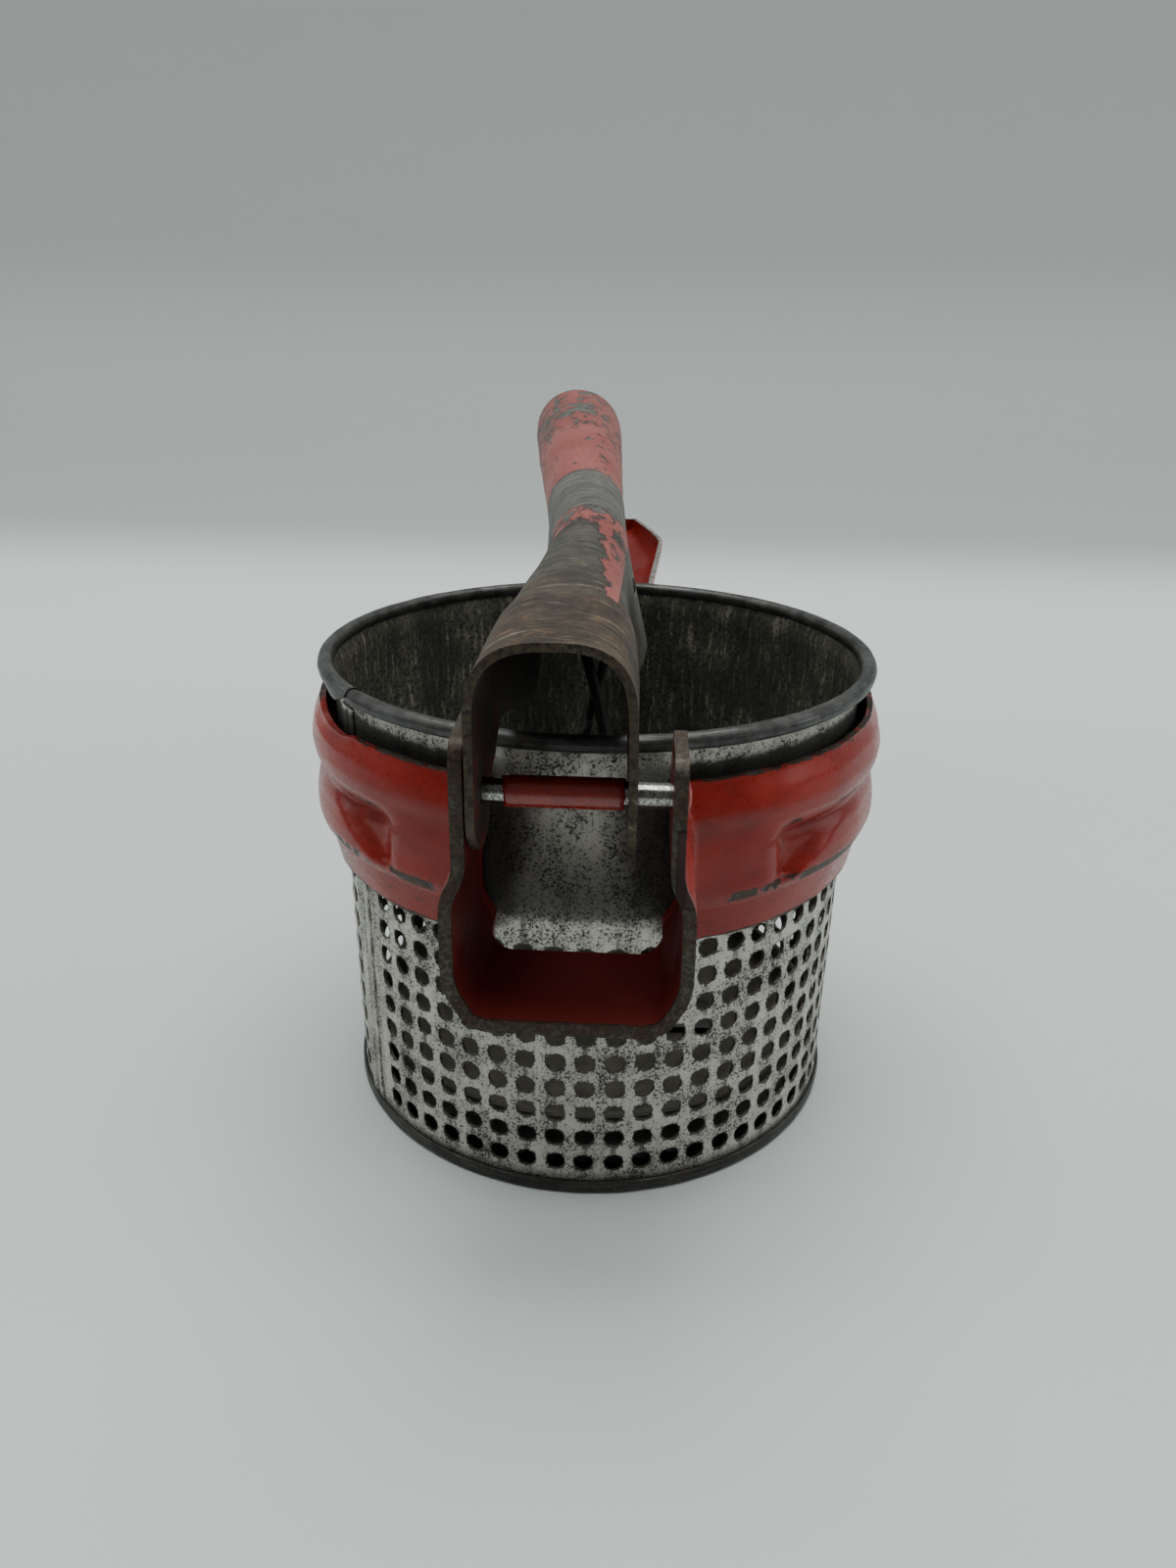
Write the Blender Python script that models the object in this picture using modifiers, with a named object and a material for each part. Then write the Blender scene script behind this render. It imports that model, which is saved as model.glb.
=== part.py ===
"""A hand-lever ricer: perforated tin basket, pressed steel frame, hinged lever and plunger.

Frame: metres, +Z up. The origin is the centre of the basket's underside. The hinge yoke points
to -Y, and the lever and the lower handle run to +Y. Every sub-part is one closed body.
"""
import math

import bmesh
import bpy
from mathutils import Matrix, Vector

MM = 0.001
RING_STEPS = 48            # facets round the basket and its rings
ROD_STEPS = 16             # facets round a pin
GAP = 0.3                  # clearance between touching pieces, mm

# Basket, mm
BASE_R = 44.3              # outer radius of the wall at the base
WALL_SLOPE = 0.0132        # gain of radius per mm of height
WALL_T = 0.5
WALL_BOTTOM = 0.7
WALL_TOP = 79.0
RIM_TOP = 82.1
RIM_BEAD_R = 1.4
RIM_R = 46.6               # radius of the circle that the rim wire runs on
WIRE_R = 0.75
SEAM_AZIMUTH = -57.0       # degrees from -Y; the wall seam and the rim joint share it
SEAM_WIDTH = 5.0
BAND_TOP = 2.3

# Frame stamping, mm
COLLAR_BOTTOM = 48.3
COLLAR_TOP = 75.2
COLLAR_T = 1.0
YOKE_T = 1.7
YOKE_FRONT = -72.0
YOKE_REAR = -44.5
EAR_X = 13.35              # middle of the ear's sheet
EAR_TOP = 90.1             # left ear
RIGHT_EAR_TOP = 88.3
JOG_X = 15.25              # middle of the sheet where the yoke is wider
FLOOR_Z = 50.85
FLOOR_EDGE = -53.7

# Hinge, mm
PIN_Y = -65.5
PIN_Z = 81.4
PIN_R = 1.55
PIN_HOLE_R = 1.85
PIN_HEAD_R = 2.1
SLEEVE_R = 2.1
SLEEVE_BORE_R = 1.77
SLEEVE_HALF = 7.2
SLEEVE_X = -1.2            # the sleeve sits nearer the left ear

# Lever, mm
LEVER_T = 1.1
LEVER_FRONT = -73.0
LEVER_END = 199.0
LEG_R = 7.4

# Plunger, mm
PIVOT_Z = 92.0
PIVOT_SHARE = 0.33         # how far down the lever's wall the pivot sits
PIVOT_R = 1.5
PIVOT_HOLE_R = 1.8
PLATE_R = 41.8
PLATE_BOTTOM = 4.2
PLATE_T = 1.0
PLATE_RIM_TOP = 13.0
LINK_T = 1.4
LINK_HALF_WIDTH = 5.0
LINK_CROSS_Z = 74.0
FOOT_X = 13.5
FOOT_END = 23.5
FOOT_RIVET_X = 18.8
FOOT_RIVET_Y = 2.6
FOOT_HOLE_R = 1.4

# Lower handle, mm
HANDLE_T = 1.2
SADDLE_R = 50.2
SADDLE_HALF_ANGLE = 19.0
SADDLE_BOTTOM = 53.5
SADDLE_TOP = 70.5
HANDLE_START = 50.8
HANDLE_END = 201.0
RIVET_X = 13.0
RIVET_Z = 62.5
RIVET_HOLE_R = 1.9


def clear_scene():
    for obj in list(bpy.data.objects):
        bpy.data.objects.remove(obj, do_unlink=True)


def new_collection(name):
    collection = bpy.data.collections.new(name)
    bpy.context.scene.collection.children.link(collection)
    return collection


def material(name, color, roughness, metallic):
    mat = bpy.data.materials.new(name)
    mat.use_nodes = True
    shader = mat.node_tree.nodes["Principled BSDF"]
    shader.inputs["Base Color"].default_value = (*color, 1.0)
    shader.inputs["Roughness"].default_value = roughness
    shader.inputs["Metallic"].default_value = metallic
    return mat


def mesh_object(name, bm, mat, collection):
    """Make an object of a bmesh; a closed one is turned so that its faces point out."""
    bmesh.ops.recalc_face_normals(bm, faces=bm.faces)
    closed = all(len(edge.link_faces) == 2 for edge in bm.edges)
    if closed and bm.calc_volume(signed=True) < 0:
        bmesh.ops.reverse_faces(bm, faces=bm.faces)
    mesh = bpy.data.meshes.new(name)
    bm.to_mesh(mesh)
    bm.free()
    obj = bpy.data.objects.new(name, mesh)
    collection.objects.link(obj)
    if mat is not None:
        obj.data.materials.append(mat)
    return obj


def smooth(obj, degrees=30):
    obj.data.shade_smooth()
    obj.data.set_sharp_from_angle(angle=math.radians(degrees))


def turned(name, outline, mat, collection, steps=RING_STEPS, closed=False):
    """Turn an outline of (radius, height) in mm about Z, outline running down its outer side."""
    mesh = bpy.data.meshes.new(name)
    count = len(outline)
    edges = [(i, i + 1) for i in range(count - 1)]
    if closed:
        edges.append((count - 1, 0))
    mesh.from_pydata([(r * MM, 0.0, z * MM) for r, z in outline], edges, [])
    obj = bpy.data.objects.new(name, mesh)
    collection.objects.link(obj)
    obj.data.materials.append(mat)
    screw = obj.modifiers.new("turn", "SCREW")
    screw.steps = steps
    screw.render_steps = steps
    screw.use_merge_vertices = True
    screw.merge_threshold = 0.00001
    screw.use_smooth_shade = True
    return obj


def cylinder_between(name, start, end, radius, collection, mat=None, steps=ROD_STEPS):
    """A closed cylinder between two points, all in mm."""
    axis = Vector(end) - Vector(start)
    bm = bmesh.new()
    bmesh.ops.create_cone(bm, cap_ends=True, segments=steps, radius1=radius * MM,
                          radius2=radius * MM, depth=axis.length * MM)
    turn = axis.to_track_quat("Z", "Y").to_matrix().to_4x4()
    middle = (Vector(start) + Vector(end)) / 2 * MM
    bm.transform(Matrix.Translation(middle) @ turn)
    return mesh_object(name, bm, mat, collection)


def cutter(obj):
    obj.hide_render = True
    obj.display_type = "WIRE"
    return obj


def boolean(obj, other, operation):
    mod = obj.modifiers.new(operation.lower(), "BOOLEAN")
    mod.operation = operation
    mod.object = other
    mod.solver = "EXACT"


def apply_modifiers(obj):
    """Replace an object's mesh by its evaluated mesh."""
    bpy.context.view_layer.update()
    evaluated = obj.evaluated_get(bpy.context.evaluated_depsgraph_get())
    mesh = bpy.data.meshes.new_from_object(evaluated)
    obj.modifiers.clear()
    obj.data = mesh


def prism(name, outline, start, end, axis, mat, collection):
    """Extrude a closed outline along axis X or Y between two places, in mm."""
    bm = bmesh.new()

    def place(point, along):
        first, second = point
        if axis == "X":
            return (along * MM, first * MM, second * MM)
        return (first * MM, along * MM, second * MM)

    low = [bm.verts.new(place(p, start)) for p in outline]
    high = [bm.verts.new(place(p, end)) for p in outline]
    bm.faces.new(low)
    bm.faces.new(high)
    count = len(outline)
    for i in range(count):
        j = (i + 1) % count
        bm.faces.new((low[i], low[j], high[j], high[i]))
    return mesh_object(name, bm, mat, collection)


def strip(path, thickness):
    """The closed outline of a sheet of even thickness whose middle follows path, in mm."""
    points = [Vector(p) for p in path]
    left = []
    right = []
    for i, point in enumerate(points):
        before = (point - points[i - 1]).normalized() if i > 0 else None
        after = (points[i + 1] - point).normalized() if i < len(points) - 1 else None
        before = before if before is not None else after
        after = after if after is not None else before
        mid = (before + after).normalized()
        normal = Vector((-mid.y, mid.x))
        half = thickness / 2 / max(0.5, mid.dot(after))
        left.append(point + normal * half)
        right.append(point - normal * half)
    return [tuple(p) for p in left + right[::-1]]


def rounded_path(corners, radius, steps=3):
    """A polyline through corners with each inner corner rounded off, in mm."""
    points = [Vector(c) for c in corners]
    path = [points[0]]
    for before, corner, after in zip(points, points[1:], points[2:]):
        reach = min(radius, (before - corner).length * 0.45, (after - corner).length * 0.45)
        enter = corner + (before - corner).normalized() * reach
        leave = corner + (after - corner).normalized() * reach
        for k in range(steps + 1):
            t = k / steps
            path.append(enter * (1 - t) ** 2 + corner * 2 * t * (1 - t) + leave * t ** 2)
    path.append(points[-1])
    return [tuple(p) for p in path]


def smooth_curve(knots, x):
    """A smooth line through (x, value) knots, with no overshoot between them."""
    if x <= knots[0][0]:
        return knots[0][1]
    for (x0, v0), (x1, v1) in zip(knots, knots[1:]):
        if x <= x1:
            t = (x - x0) / (x1 - x0)
            return v0 + (v1 - v0) * t
    return knots[-1][1]


def ease(knots, x, reach=6.0):
    """The same line with its corners eased over a short reach."""
    offsets = (-1.0, -0.5, 0.0, 0.5, 1.0)
    return sum(smooth_curve(knots, x + reach * k) for k in offsets) / len(offsets)


def wall_radius(z):
    return BASE_R + WALL_SLOPE * z


# ---------------------------------------------------------------- basket

def basket_wall(mat, collection):
    bottom_r = wall_radius(WALL_BOTTOM)
    top_r = wall_radius(WALL_TOP)
    outline = [(top_r - WALL_T, WALL_TOP), (top_r, WALL_TOP), (bottom_r, WALL_BOTTOM),
               (bottom_r - WALL_T, WALL_BOTTOM)]
    return turned("basket_wall", outline, mat, collection, closed=True)


def basket_bottom(mat, collection):
    """A shallow pan inside the wall, flat on its underside."""
    rim_r = BASE_R - WALL_T - GAP
    outline = [(0, 0.6), (rim_r - 1.0, 0.6), (rim_r - 0.5, 1.1), (rim_r - 0.5, 2.6),
               (rim_r, 2.6), (rim_r, 0.8), (rim_r - 0.8, 0.0), (0, 0.0)]
    return turned("basket_bottom", outline, mat, collection)


def bottom_ring(mat, collection):
    """The band crimped round the foot of the wall, with a lip under it."""
    inner = wall_radius(BAND_TOP) + 0.2
    lip = BASE_R - WALL_T + 0.1
    outline = [(inner, BAND_TOP), (inner + 0.35, BAND_TOP), (inner + 0.45, BAND_TOP - 0.4),
               (inner + 0.45, 0.5), (inner, 0.0), (lip, 0.0), (lip, 0.4), (inner, 0.4)]
    return turned("bottom_ring", outline, mat, collection, closed=True)


def swept_arc(name, section, start, sweep, steps, mat, collection):
    """Sweep a closed (radius, height) section about Z from an azimuth off -Y, with capped ends."""
    bm = bmesh.new()
    rings = []
    for i in range(steps + 1):
        angle = math.radians(start + sweep * i / steps)
        ring = [bm.verts.new((r * MM * math.sin(angle), -r * MM * math.cos(angle), z * MM))
                for r, z in section]
        rings.append(ring)
    count = len(section)
    for a, b in zip(rings, rings[1:]):
        for i in range(count):
            j = (i + 1) % count
            bm.faces.new((a[i], a[j], b[j], b[i]))
    bm.faces.new(rings[0])
    bm.faces.new(rings[-1])
    return mesh_object(name, bm, mat, collection)


def basket_rim(mat, collection):
    """The rolled strip round the rim wire, open along its lower inner side and at one joint."""
    centre_z = RIM_TOP - RIM_BEAD_R
    inner_r = RIM_BEAD_R - 0.3
    first, last, parts = -100, 205, 9

    def arc(radius, reverse):
        angles = [math.radians(first + (last - first) * i / parts) for i in range(parts + 1)]
        if reverse:
            angles.reverse()
        return [(RIM_R + radius * math.cos(a), centre_z + radius * math.sin(a)) for a in angles]

    section = arc(RIM_BEAD_R, False) + arc(inner_r, True)
    obj = swept_arc("basket_rim", section, SEAM_AZIMUTH + 0.5, 359.0, RING_STEPS, mat, collection)
    smooth(obj)
    return obj


def rim_wire(mat, collection):
    centre_z = RIM_TOP - RIM_BEAD_R
    section = [(RIM_R + WIRE_R * math.cos(a), centre_z + WIRE_R * math.sin(a))
               for a in (math.tau * i / 6 for i in range(6))]
    obj = swept_arc("rim_wire", section, SEAM_AZIMUTH + 1.0, 358.0, RING_STEPS, mat, collection)
    smooth(obj, 60)
    return obj


def side_seam(mat, collection):
    """The lock seam that closes the wall, a flat fold up its outer side."""
    low = BAND_TOP + GAP
    high = WALL_TOP - 1.5
    lift = 0.12
    section = [(wall_radius(low) + lift, low), (wall_radius(low) + lift + 0.35, low),
               (wall_radius(high) + lift + 0.35, high), (wall_radius(high) + lift, high)]
    half = math.degrees(SEAM_WIDTH / 2 / BASE_R)
    return swept_arc("side_seam", section, SEAM_AZIMUTH - half, 2 * half, 4, mat, collection)


# ---------------------------------------------------------------- frame

COLLAR_PROFILE = [  # (height, outer radius away from the yoke, outer radius beside the yoke)
    (COLLAR_BOTTOM, 46.6, 46.6), (51.5, 47.2, 47.2), (54.4, 47.8, 47.8), (55.2, 48.3, 48.3),
    (57.0, 49.0, 49.2), (59.2, 49.3, 49.4), (61.8, 48.9, 49.5), (64.2, 47.9, 49.5),
    (65.0, 48.3, 49.5), (67.0, 49.4, 49.6), (69.2, 49.7, 49.6), (72.0, 49.1, 49.0),
    (COLLAR_TOP, 47.9, 47.9)]


def yoke_half_path():
    """The right half of the yoke's sheet as seen from the front, ear tip to centre."""
    return rounded_path([(EAR_X, EAR_TOP), (EAR_X, 72.4), (JOG_X, 68.6), (JOG_X, 56.4),
                         (12.6, FLOOR_Z + 0.9), (10.4, FLOOR_Z), (0, FLOOR_Z)], 2.4)


def yoke_x(z):
    """Where the yoke's sheet stands at a height, as half its spread."""
    path = yoke_half_path()[:-1]
    for (x0, z0), (x1, z1) in zip(path, path[1:]):
        if z1 <= z <= z0 and z0 > z1:
            return x1 + (x0 - x1) * (z - z1) / (z0 - z1)
    return 12.6


def collar_band(mat, collection):
    """The band, lofted because its second rib only starts some way round from the yoke."""
    bm = bmesh.new()
    steps = 52
    rings = []
    for i in range(steps + 1):
        t = i / steps
        ring = []
        for side in ("outer", "inner"):
            rows = COLLAR_PROFILE if side == "outer" else COLLAR_PROFILE[::-1]
            for z, far, near in rows:
                start = math.asin(yoke_x(z) / near)
                angle = start + (math.tau - 2 * start) * t
                off_yoke = math.degrees(min(angle, math.tau - angle))
                mix = min(1.0, max(0.0, (off_yoke - 34.0) / 6.0))
                mix = mix * mix * (3 - 2 * mix)
                radius = near + (far - near) * mix - (0 if side == "outer" else COLLAR_T)
                ring.append(bm.verts.new((radius * MM * math.sin(angle),
                                          -radius * MM * math.cos(angle), z * MM)))
        rings.append(ring)
    count = len(rings[0])
    for a, b in zip(rings, rings[1:]):
        for i in range(count):
            j = (i + 1) % count
            bm.faces.new((a[i], a[j], b[j], b[i]))
    for ring in (rings[0], rings[-1]):
        for i in range(count // 2 - 1):
            bm.faces.new((ring[i], ring[i + 1], ring[count - 2 - i], ring[count - 1 - i]))
    return mesh_object("collar_frame", bm, mat, collection)


def yoke_trough(mat, collection):
    half = yoke_half_path()
    path = half + [(-x, z) for x, z in half[-2::-1]]
    return prism("yoke_trough", strip(path, YOKE_T), YOKE_FRONT, YOKE_REAR, "Y", mat, collection)


def ear_trim(side, top, collection):
    """What is cut away above one ear's sloping back and round its front corner."""
    corner = 3.5
    outline = [(YOKE_FRONT - 2, top - corner)]
    for k in range(5):
        a = math.radians(180 - 22.5 * k)
        outline.append((YOKE_FRONT + corner + corner * math.cos(a),
                        top - corner + corner * math.sin(a)))
    outline += [(-60.5, top), (-57.5, top - 1.5), (-54.5, top - 5.0),
                (-48.0, COLLAR_TOP + 0.2), (YOKE_REAR + 2, COLLAR_TOP - 0.6),
                (YOKE_REAR + 2, top + 5), (YOKE_FRONT - 2, top + 5)]
    return cutter(prism("ear_trim", outline, 0, 20 * side, "X", None, collection))


def floor_notch(collection):
    """The rounded opening behind the trough's floor, under the basket wall."""
    half, front, rear, corner = 12.4, FLOOR_EDGE, YOKE_REAR + 4, 4.0
    bm = bmesh.new()
    outline = [(half, rear)]
    for k in range(5):
        a = math.radians(-22.5 * k)
        outline.append((half - corner + corner * math.cos(a), front + corner + corner * math.sin(a)))
    outline += [(-x, y) for x, y in outline[::-1]]
    low = [bm.verts.new((x * MM, y * MM, 46.0 * MM)) for x, y in outline]
    high = [bm.verts.new((x * MM, y * MM, 53.0 * MM)) for x, y in outline]
    bm.faces.new(low)
    bm.faces.new(high)
    for i in range(len(outline)):
        j = (i + 1) % len(outline)
        bm.faces.new((low[i], low[j], high[j], high[i]))
    return cutter(mesh_object("floor_notch", bm, None, collection))


def rivet_line(x):
    """A rivet's axis through the saddle and the collar, square to both."""
    angle = math.asin(x / SADDLE_R)
    return Vector((math.sin(angle), math.cos(angle), 0.0))


def drill_rivet_holes(obj, collection):
    """Cut the two saddle rivet holes through a piece of the frame."""
    foot = Vector((0, 0, RIVET_Z))
    for side in (-1, 1):
        line = rivet_line(side * RIVET_X)
        hole = cylinder_between("rivet_hole", foot + line * 44, foot + line * 54, RIVET_HOLE_R,
                                collection)
        boolean(obj, cutter(hole), "DIFFERENCE")


def collar_frame(mat, collection, cutters):
    band = collar_band(mat, collection)
    drill_rivet_holes(band, cutters)
    trough = yoke_trough(mat, cutters)
    boolean(trough, ear_trim(-1, EAR_TOP, cutters), "DIFFERENCE")
    boolean(trough, ear_trim(1, RIGHT_EAR_TOP, cutters), "DIFFERENCE")
    boolean(trough, floor_notch(cutters), "DIFFERENCE")
    pin_hole = cylinder_between("pin_hole", (-20, PIN_Y, PIN_Z), (20, PIN_Y, PIN_Z),
                                PIN_HOLE_R, cutters)
    boolean(trough, cutter(pin_hole), "DIFFERENCE")
    apply_modifiers(trough)
    boolean(band, cutter(trough), "UNION")
    apply_modifiers(band)
    smooth(band)
    return band


def hinge_pin(mat, collection):
    """The cross pin, peened over outside both ears."""
    half = EAR_X + YOKE_T / 2
    neck = half + 0.15
    head = [(0, neck + 0.6), (1.4, neck + 0.5), (2.0, neck + 0.25), (PIN_HEAD_R, neck),
            (PIN_R, neck)]
    outline = head + [(r, -z) for r, z in head[::-1]]
    pin = turned("hinge_pin", outline, mat, collection, ROD_STEPS)
    pin.rotation_euler = (0, math.radians(90), 0)
    pin.location = (0, PIN_Y * MM, PIN_Z * MM)
    return pin


def hinge_sleeve(mat, collection):
    """The loose tube that turns on the pin."""
    outline = [(SLEEVE_BORE_R, SLEEVE_HALF), (SLEEVE_R, SLEEVE_HALF), (SLEEVE_R, -SLEEVE_HALF),
               (SLEEVE_BORE_R, -SLEEVE_HALF)]
    sleeve = turned("hinge_sleeve", outline, mat, collection, ROD_STEPS, closed=True)
    sleeve.rotation_euler = (0, math.radians(90), 0)
    sleeve.location = (SLEEVE_X * MM, PIN_Y * MM, PIN_Z * MM)
    return sleeve


# ---------------------------------------------------------------- lower handle

HANDLE_HALF_WIDTH = [(50, 8.6), (90, 8.6), (119, 9.7), (173, 12.4), (178, 11.6), (186, 9.2),
                     (194, 6.2), (HANDLE_END, 3.4)]
HANDLE_EDGE_Z = [(50, 66.0), (170, 66.0), (HANDLE_END, 68.2)]
HANDLE_DEPTH = [(50, 11.0), (90, 10.0), (173, 10.5), (188, 9.0), (HANDLE_END, 4.5)]


def handle_section(y):
    """The U section of the lower handle at a place along it, outer side, edge to edge."""
    half = ease(HANDLE_HALF_WIDTH, y, 4)
    edge = ease(HANDLE_EDGE_Z, y, 4)
    depth = ease(HANDLE_DEPTH, y, 3)
    points = []
    parts = 8
    for k in range(parts + 1):
        a = math.pi + math.pi * k / parts
        across = math.copysign(abs(math.cos(a)) ** 0.7, math.cos(a))
        down = -abs(math.sin(a)) ** 0.8
        points.append((half * across, edge + depth * down))
    return points


def loft_sheet(name, stations, section, mat, collection, cap_last):
    """A sheet through the sections at the stations along Y, as one open surface."""
    bm = bmesh.new()
    rows = [[bm.verts.new((x * MM, y * MM, z * MM)) for x, z in section(y)] for y in stations]
    for a, b in zip(rows, rows[1:]):
        for i in range(len(a) - 1):
            bm.faces.new((a[i], a[i + 1], b[i + 1], b[i]))
    if cap_last:
        bm.faces.new(rows[-1])
        bmesh.ops.triangulate(bm, faces=[f for f in bm.faces if len(f.verts) > 4])
    return mesh_object(name, bm, mat, collection)


def thicken(obj, thickness, offset):
    solidify = obj.modifiers.new("sheet", "SOLIDIFY")
    solidify.thickness = thickness * MM
    solidify.offset = offset
    solidify.use_even_offset = True


def lower_handle(mat, collection, cutters):
    """A trough-shaped handle whose saddle is riveted to the back of the collar."""
    stations = [HANDLE_START, 70, 90, 110, 125, 140, 155, 170, 180, 187, 192, 197, HANDLE_END]
    trough = loft_sheet("lower_handle", stations, handle_section, mat, collection, True)
    face_outward(trough, Vector((0, 0.12, 0.066)))
    thicken(trough, HANDLE_T, -1)
    section = [(SADDLE_R, SADDLE_BOTTOM), (SADDLE_R + HANDLE_T, SADDLE_BOTTOM),
               (SADDLE_R + HANDLE_T, SADDLE_TOP), (SADDLE_R, SADDLE_TOP)]
    saddle = swept_arc("saddle", section, 180 - SADDLE_HALF_ANGLE, 2 * SADDLE_HALF_ANGLE, 14,
                       mat, cutters)
    boolean(trough, cutter(saddle), "UNION")
    drill_rivet_holes(trough, cutters)
    apply_modifiers(trough)
    smooth(trough)
    return trough


def handle_rivet(name, x, mat, collection):
    """One rivet through the saddle and the collar, domed outside and flat inside."""
    inner, outer = 46.15, SADDLE_R + HANDLE_T + 0.2
    outline = [(0, outer + 1.3), (1.6, outer + 1.1), (2.6, outer + 0.5), (2.8, outer),
               (1.6, outer), (1.6, inner + 0.6), (2.6, inner + 0.6), (2.6, inner), (0, inner)]
    rivet = turned(name, outline, mat, collection, 16)
    line = rivet_line(x)
    rivet.rotation_euler = line.to_track_quat("Z", "X").to_euler()
    rivet.location = (0, 0, RIVET_Z * MM)
    return rivet


# ---------------------------------------------------------------- lever

LEVER_CENTRE = [(-73, -2.0), (-35, -1.9), (-10, -1.6), (5, -1.8), (60, -6.0), (130, -11.2),
                (LEVER_END, -16.2)]
LEVER_HALF_WIDTH = [(-73, 10.2), (-58, 10.0), (-44, 8.6), (-24, 7.0), (-8, 6.6), (12, 6.7),
                    (60, 8.3), (120, 10.9), (170, 12.8), (187, 12.8), (193, 11.4), (197, 8.4),
                    (LEVER_END, 5.6)]
LEVER_TOP = [(-73, 102.6), (186, 110.2), (193, 108.8), (197, 106.0), (LEVER_END, 103.4)]
LEVER_SKIRT = [(-58, 86.2), (-52, 86.6), (-24, 80.0), (-16, 79.2), (-4, 80.2), (8, 81.8), (16, 84.0),
               (26, 87.5), (60, 88.4), (186, 87.2), (193, 89.2), (197, 92.4), (LEVER_END, 95.0)]
LEVER_FLARE = [(-44, 0.0), (-24, 1.0), (-12, 1.8), (-2, 4.2), (12, 4.4), (24, 2.6), (36, 0.0)]
LEVER_CURL = [(-10, 0.0), (10, 0.25), (30, 0.9), (45, 1.0)]
LEVER_SLOT = [(-10, 4.0), (30, 3.6), (120, 4.4), (LEVER_END, 4.0)]


def lever_edge_z(y):
    """Height of the lever's lower edge: round leg tips about the pin, then the skirt."""
    from_pin = y - PIN_Y
    skirt = ease(LEVER_SKIRT, y, 3)
    if abs(from_pin) <= LEG_R:
        tip = PIN_Z - math.sqrt(max(0.0, LEG_R ** 2 - from_pin ** 2))
        return tip
    if from_pin < 0:
        return PIN_Z
    rise = min(1.0, (from_pin - LEG_R) / 4.0)
    return PIN_Z + (skirt - PIN_Z) * rise


def lever_section(y):
    """The lever's section at a place along it, outer side, from edge to edge over the top."""
    centre = ease(LEVER_CENTRE, y)
    half = ease(LEVER_HALF_WIDTH, y, 3)
    top = ease(LEVER_TOP, y, 2)
    edge = lever_edge_z(y)
    curl = ease(LEVER_CURL, y)
    flare = ease(LEVER_FLARE, y)
    slot = min(ease(LEVER_SLOT, y), half * 0.6)
    arch = min(half * 1.02, (top - edge) * 0.5)
    power = 0.72 + 0.28 * min(1.0, max(0.0, (y + 60) / 60))
    shoulder = top - arch
    side_parts, arch_parts = 4, 8
    right = []
    for k in range(side_parts, 0, -1):
        u = k / side_parts
        in_turn = 1 - math.cos(u * math.pi / 2)
        drop = (1 - curl) * u + curl * math.sin(u * math.pi / 2)
        across = half + flare * u - curl * (half - slot) * in_turn
        right.append((across, shoulder - (shoulder - edge) * drop))
    over = []
    for k in range(arch_parts + 1):
        a = math.pi * k / arch_parts
        across = math.copysign(abs(math.cos(a)) ** power, math.cos(a))
        over.append((half * across, shoulder + arch * abs(math.sin(a)) ** power))
    left = [(-x, z) for x, z in right[::-1]]
    return [(centre + x, z) for x, z in right + over + left]


def face_outward(obj, inside):
    """Turn an open sheet's normals away from a point inside it."""
    bm = bmesh.new()
    bm.from_mesh(obj.data)
    bm.faces.ensure_lookup_table()
    face = min(bm.faces, key=lambda f: (f.calc_center_median() - inside).length)
    if (face.calc_center_median() - inside).dot(face.normal) < 0:
        bmesh.ops.reverse_faces(bm, faces=bm.faces)
    bm.to_mesh(obj.data)
    bm.free()


def upper_lever(mat, collection, cutters):
    """One stamping: two legs on the pin, an arched neck, and a grip rolled into a slotted tube."""
    legs = [PIN_Y - LEG_R * math.cos(math.pi * i / 8) for i in range(1, 9)]
    stations = [LEVER_FRONT, *legs, -54, -46, -38, -30, -22, -14, -5, 5, 14, 23, 33, 46, 64, 90,
                120, 150, 174, 185, 191, 195, LEVER_END]
    lever = loft_sheet("upper_lever", stations, lever_section, mat, collection, True)
    face_outward(lever, Vector((-0.008, 0.1, 0.1)))
    thicken(lever, LEVER_T, -1)
    pin_hole = cylinder_between("leg_hole", (-20, PIN_Y, PIN_Z), (20, PIN_Y, PIN_Z),
                                PIN_HOLE_R, cutters)
    pivot_hole = cylinder_between("pivot_hole", (-20, 0, PIVOT_Z), (20, 0, PIVOT_Z),
                                  PIVOT_HOLE_R, cutters)
    boolean(lever, cutter(pin_hole), "DIFFERENCE")
    boolean(lever, cutter(pivot_hole), "DIFFERENCE")
    apply_modifiers(lever)
    smooth(lever)
    return lever


# ---------------------------------------------------------------- plunger

def pivot_pin(mat, collection):
    """The pin that the plunger swings on, peened flush with both walls of the lever's neck."""
    centre = ease(LEVER_CENTRE, 0)
    neck = ease(LEVER_HALF_WIDTH, 0, 3) + PIVOT_SHARE * ease(LEVER_FLARE, 0)
    outline = [(0, neck + 0.25), (1.0, neck + 0.15), (PIVOT_R, neck - 0.25),
               (PIVOT_R, 0.25 - neck), (1.0, -neck - 0.15), (0, -neck - 0.25)]
    pin = turned("plunger_pivot_pin", outline, mat, collection, ROD_STEPS)
    pin.rotation_euler = (0, math.radians(90), 0)
    pin.location = (centre * MM, 0, PIVOT_Z * MM)
    return pin


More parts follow.
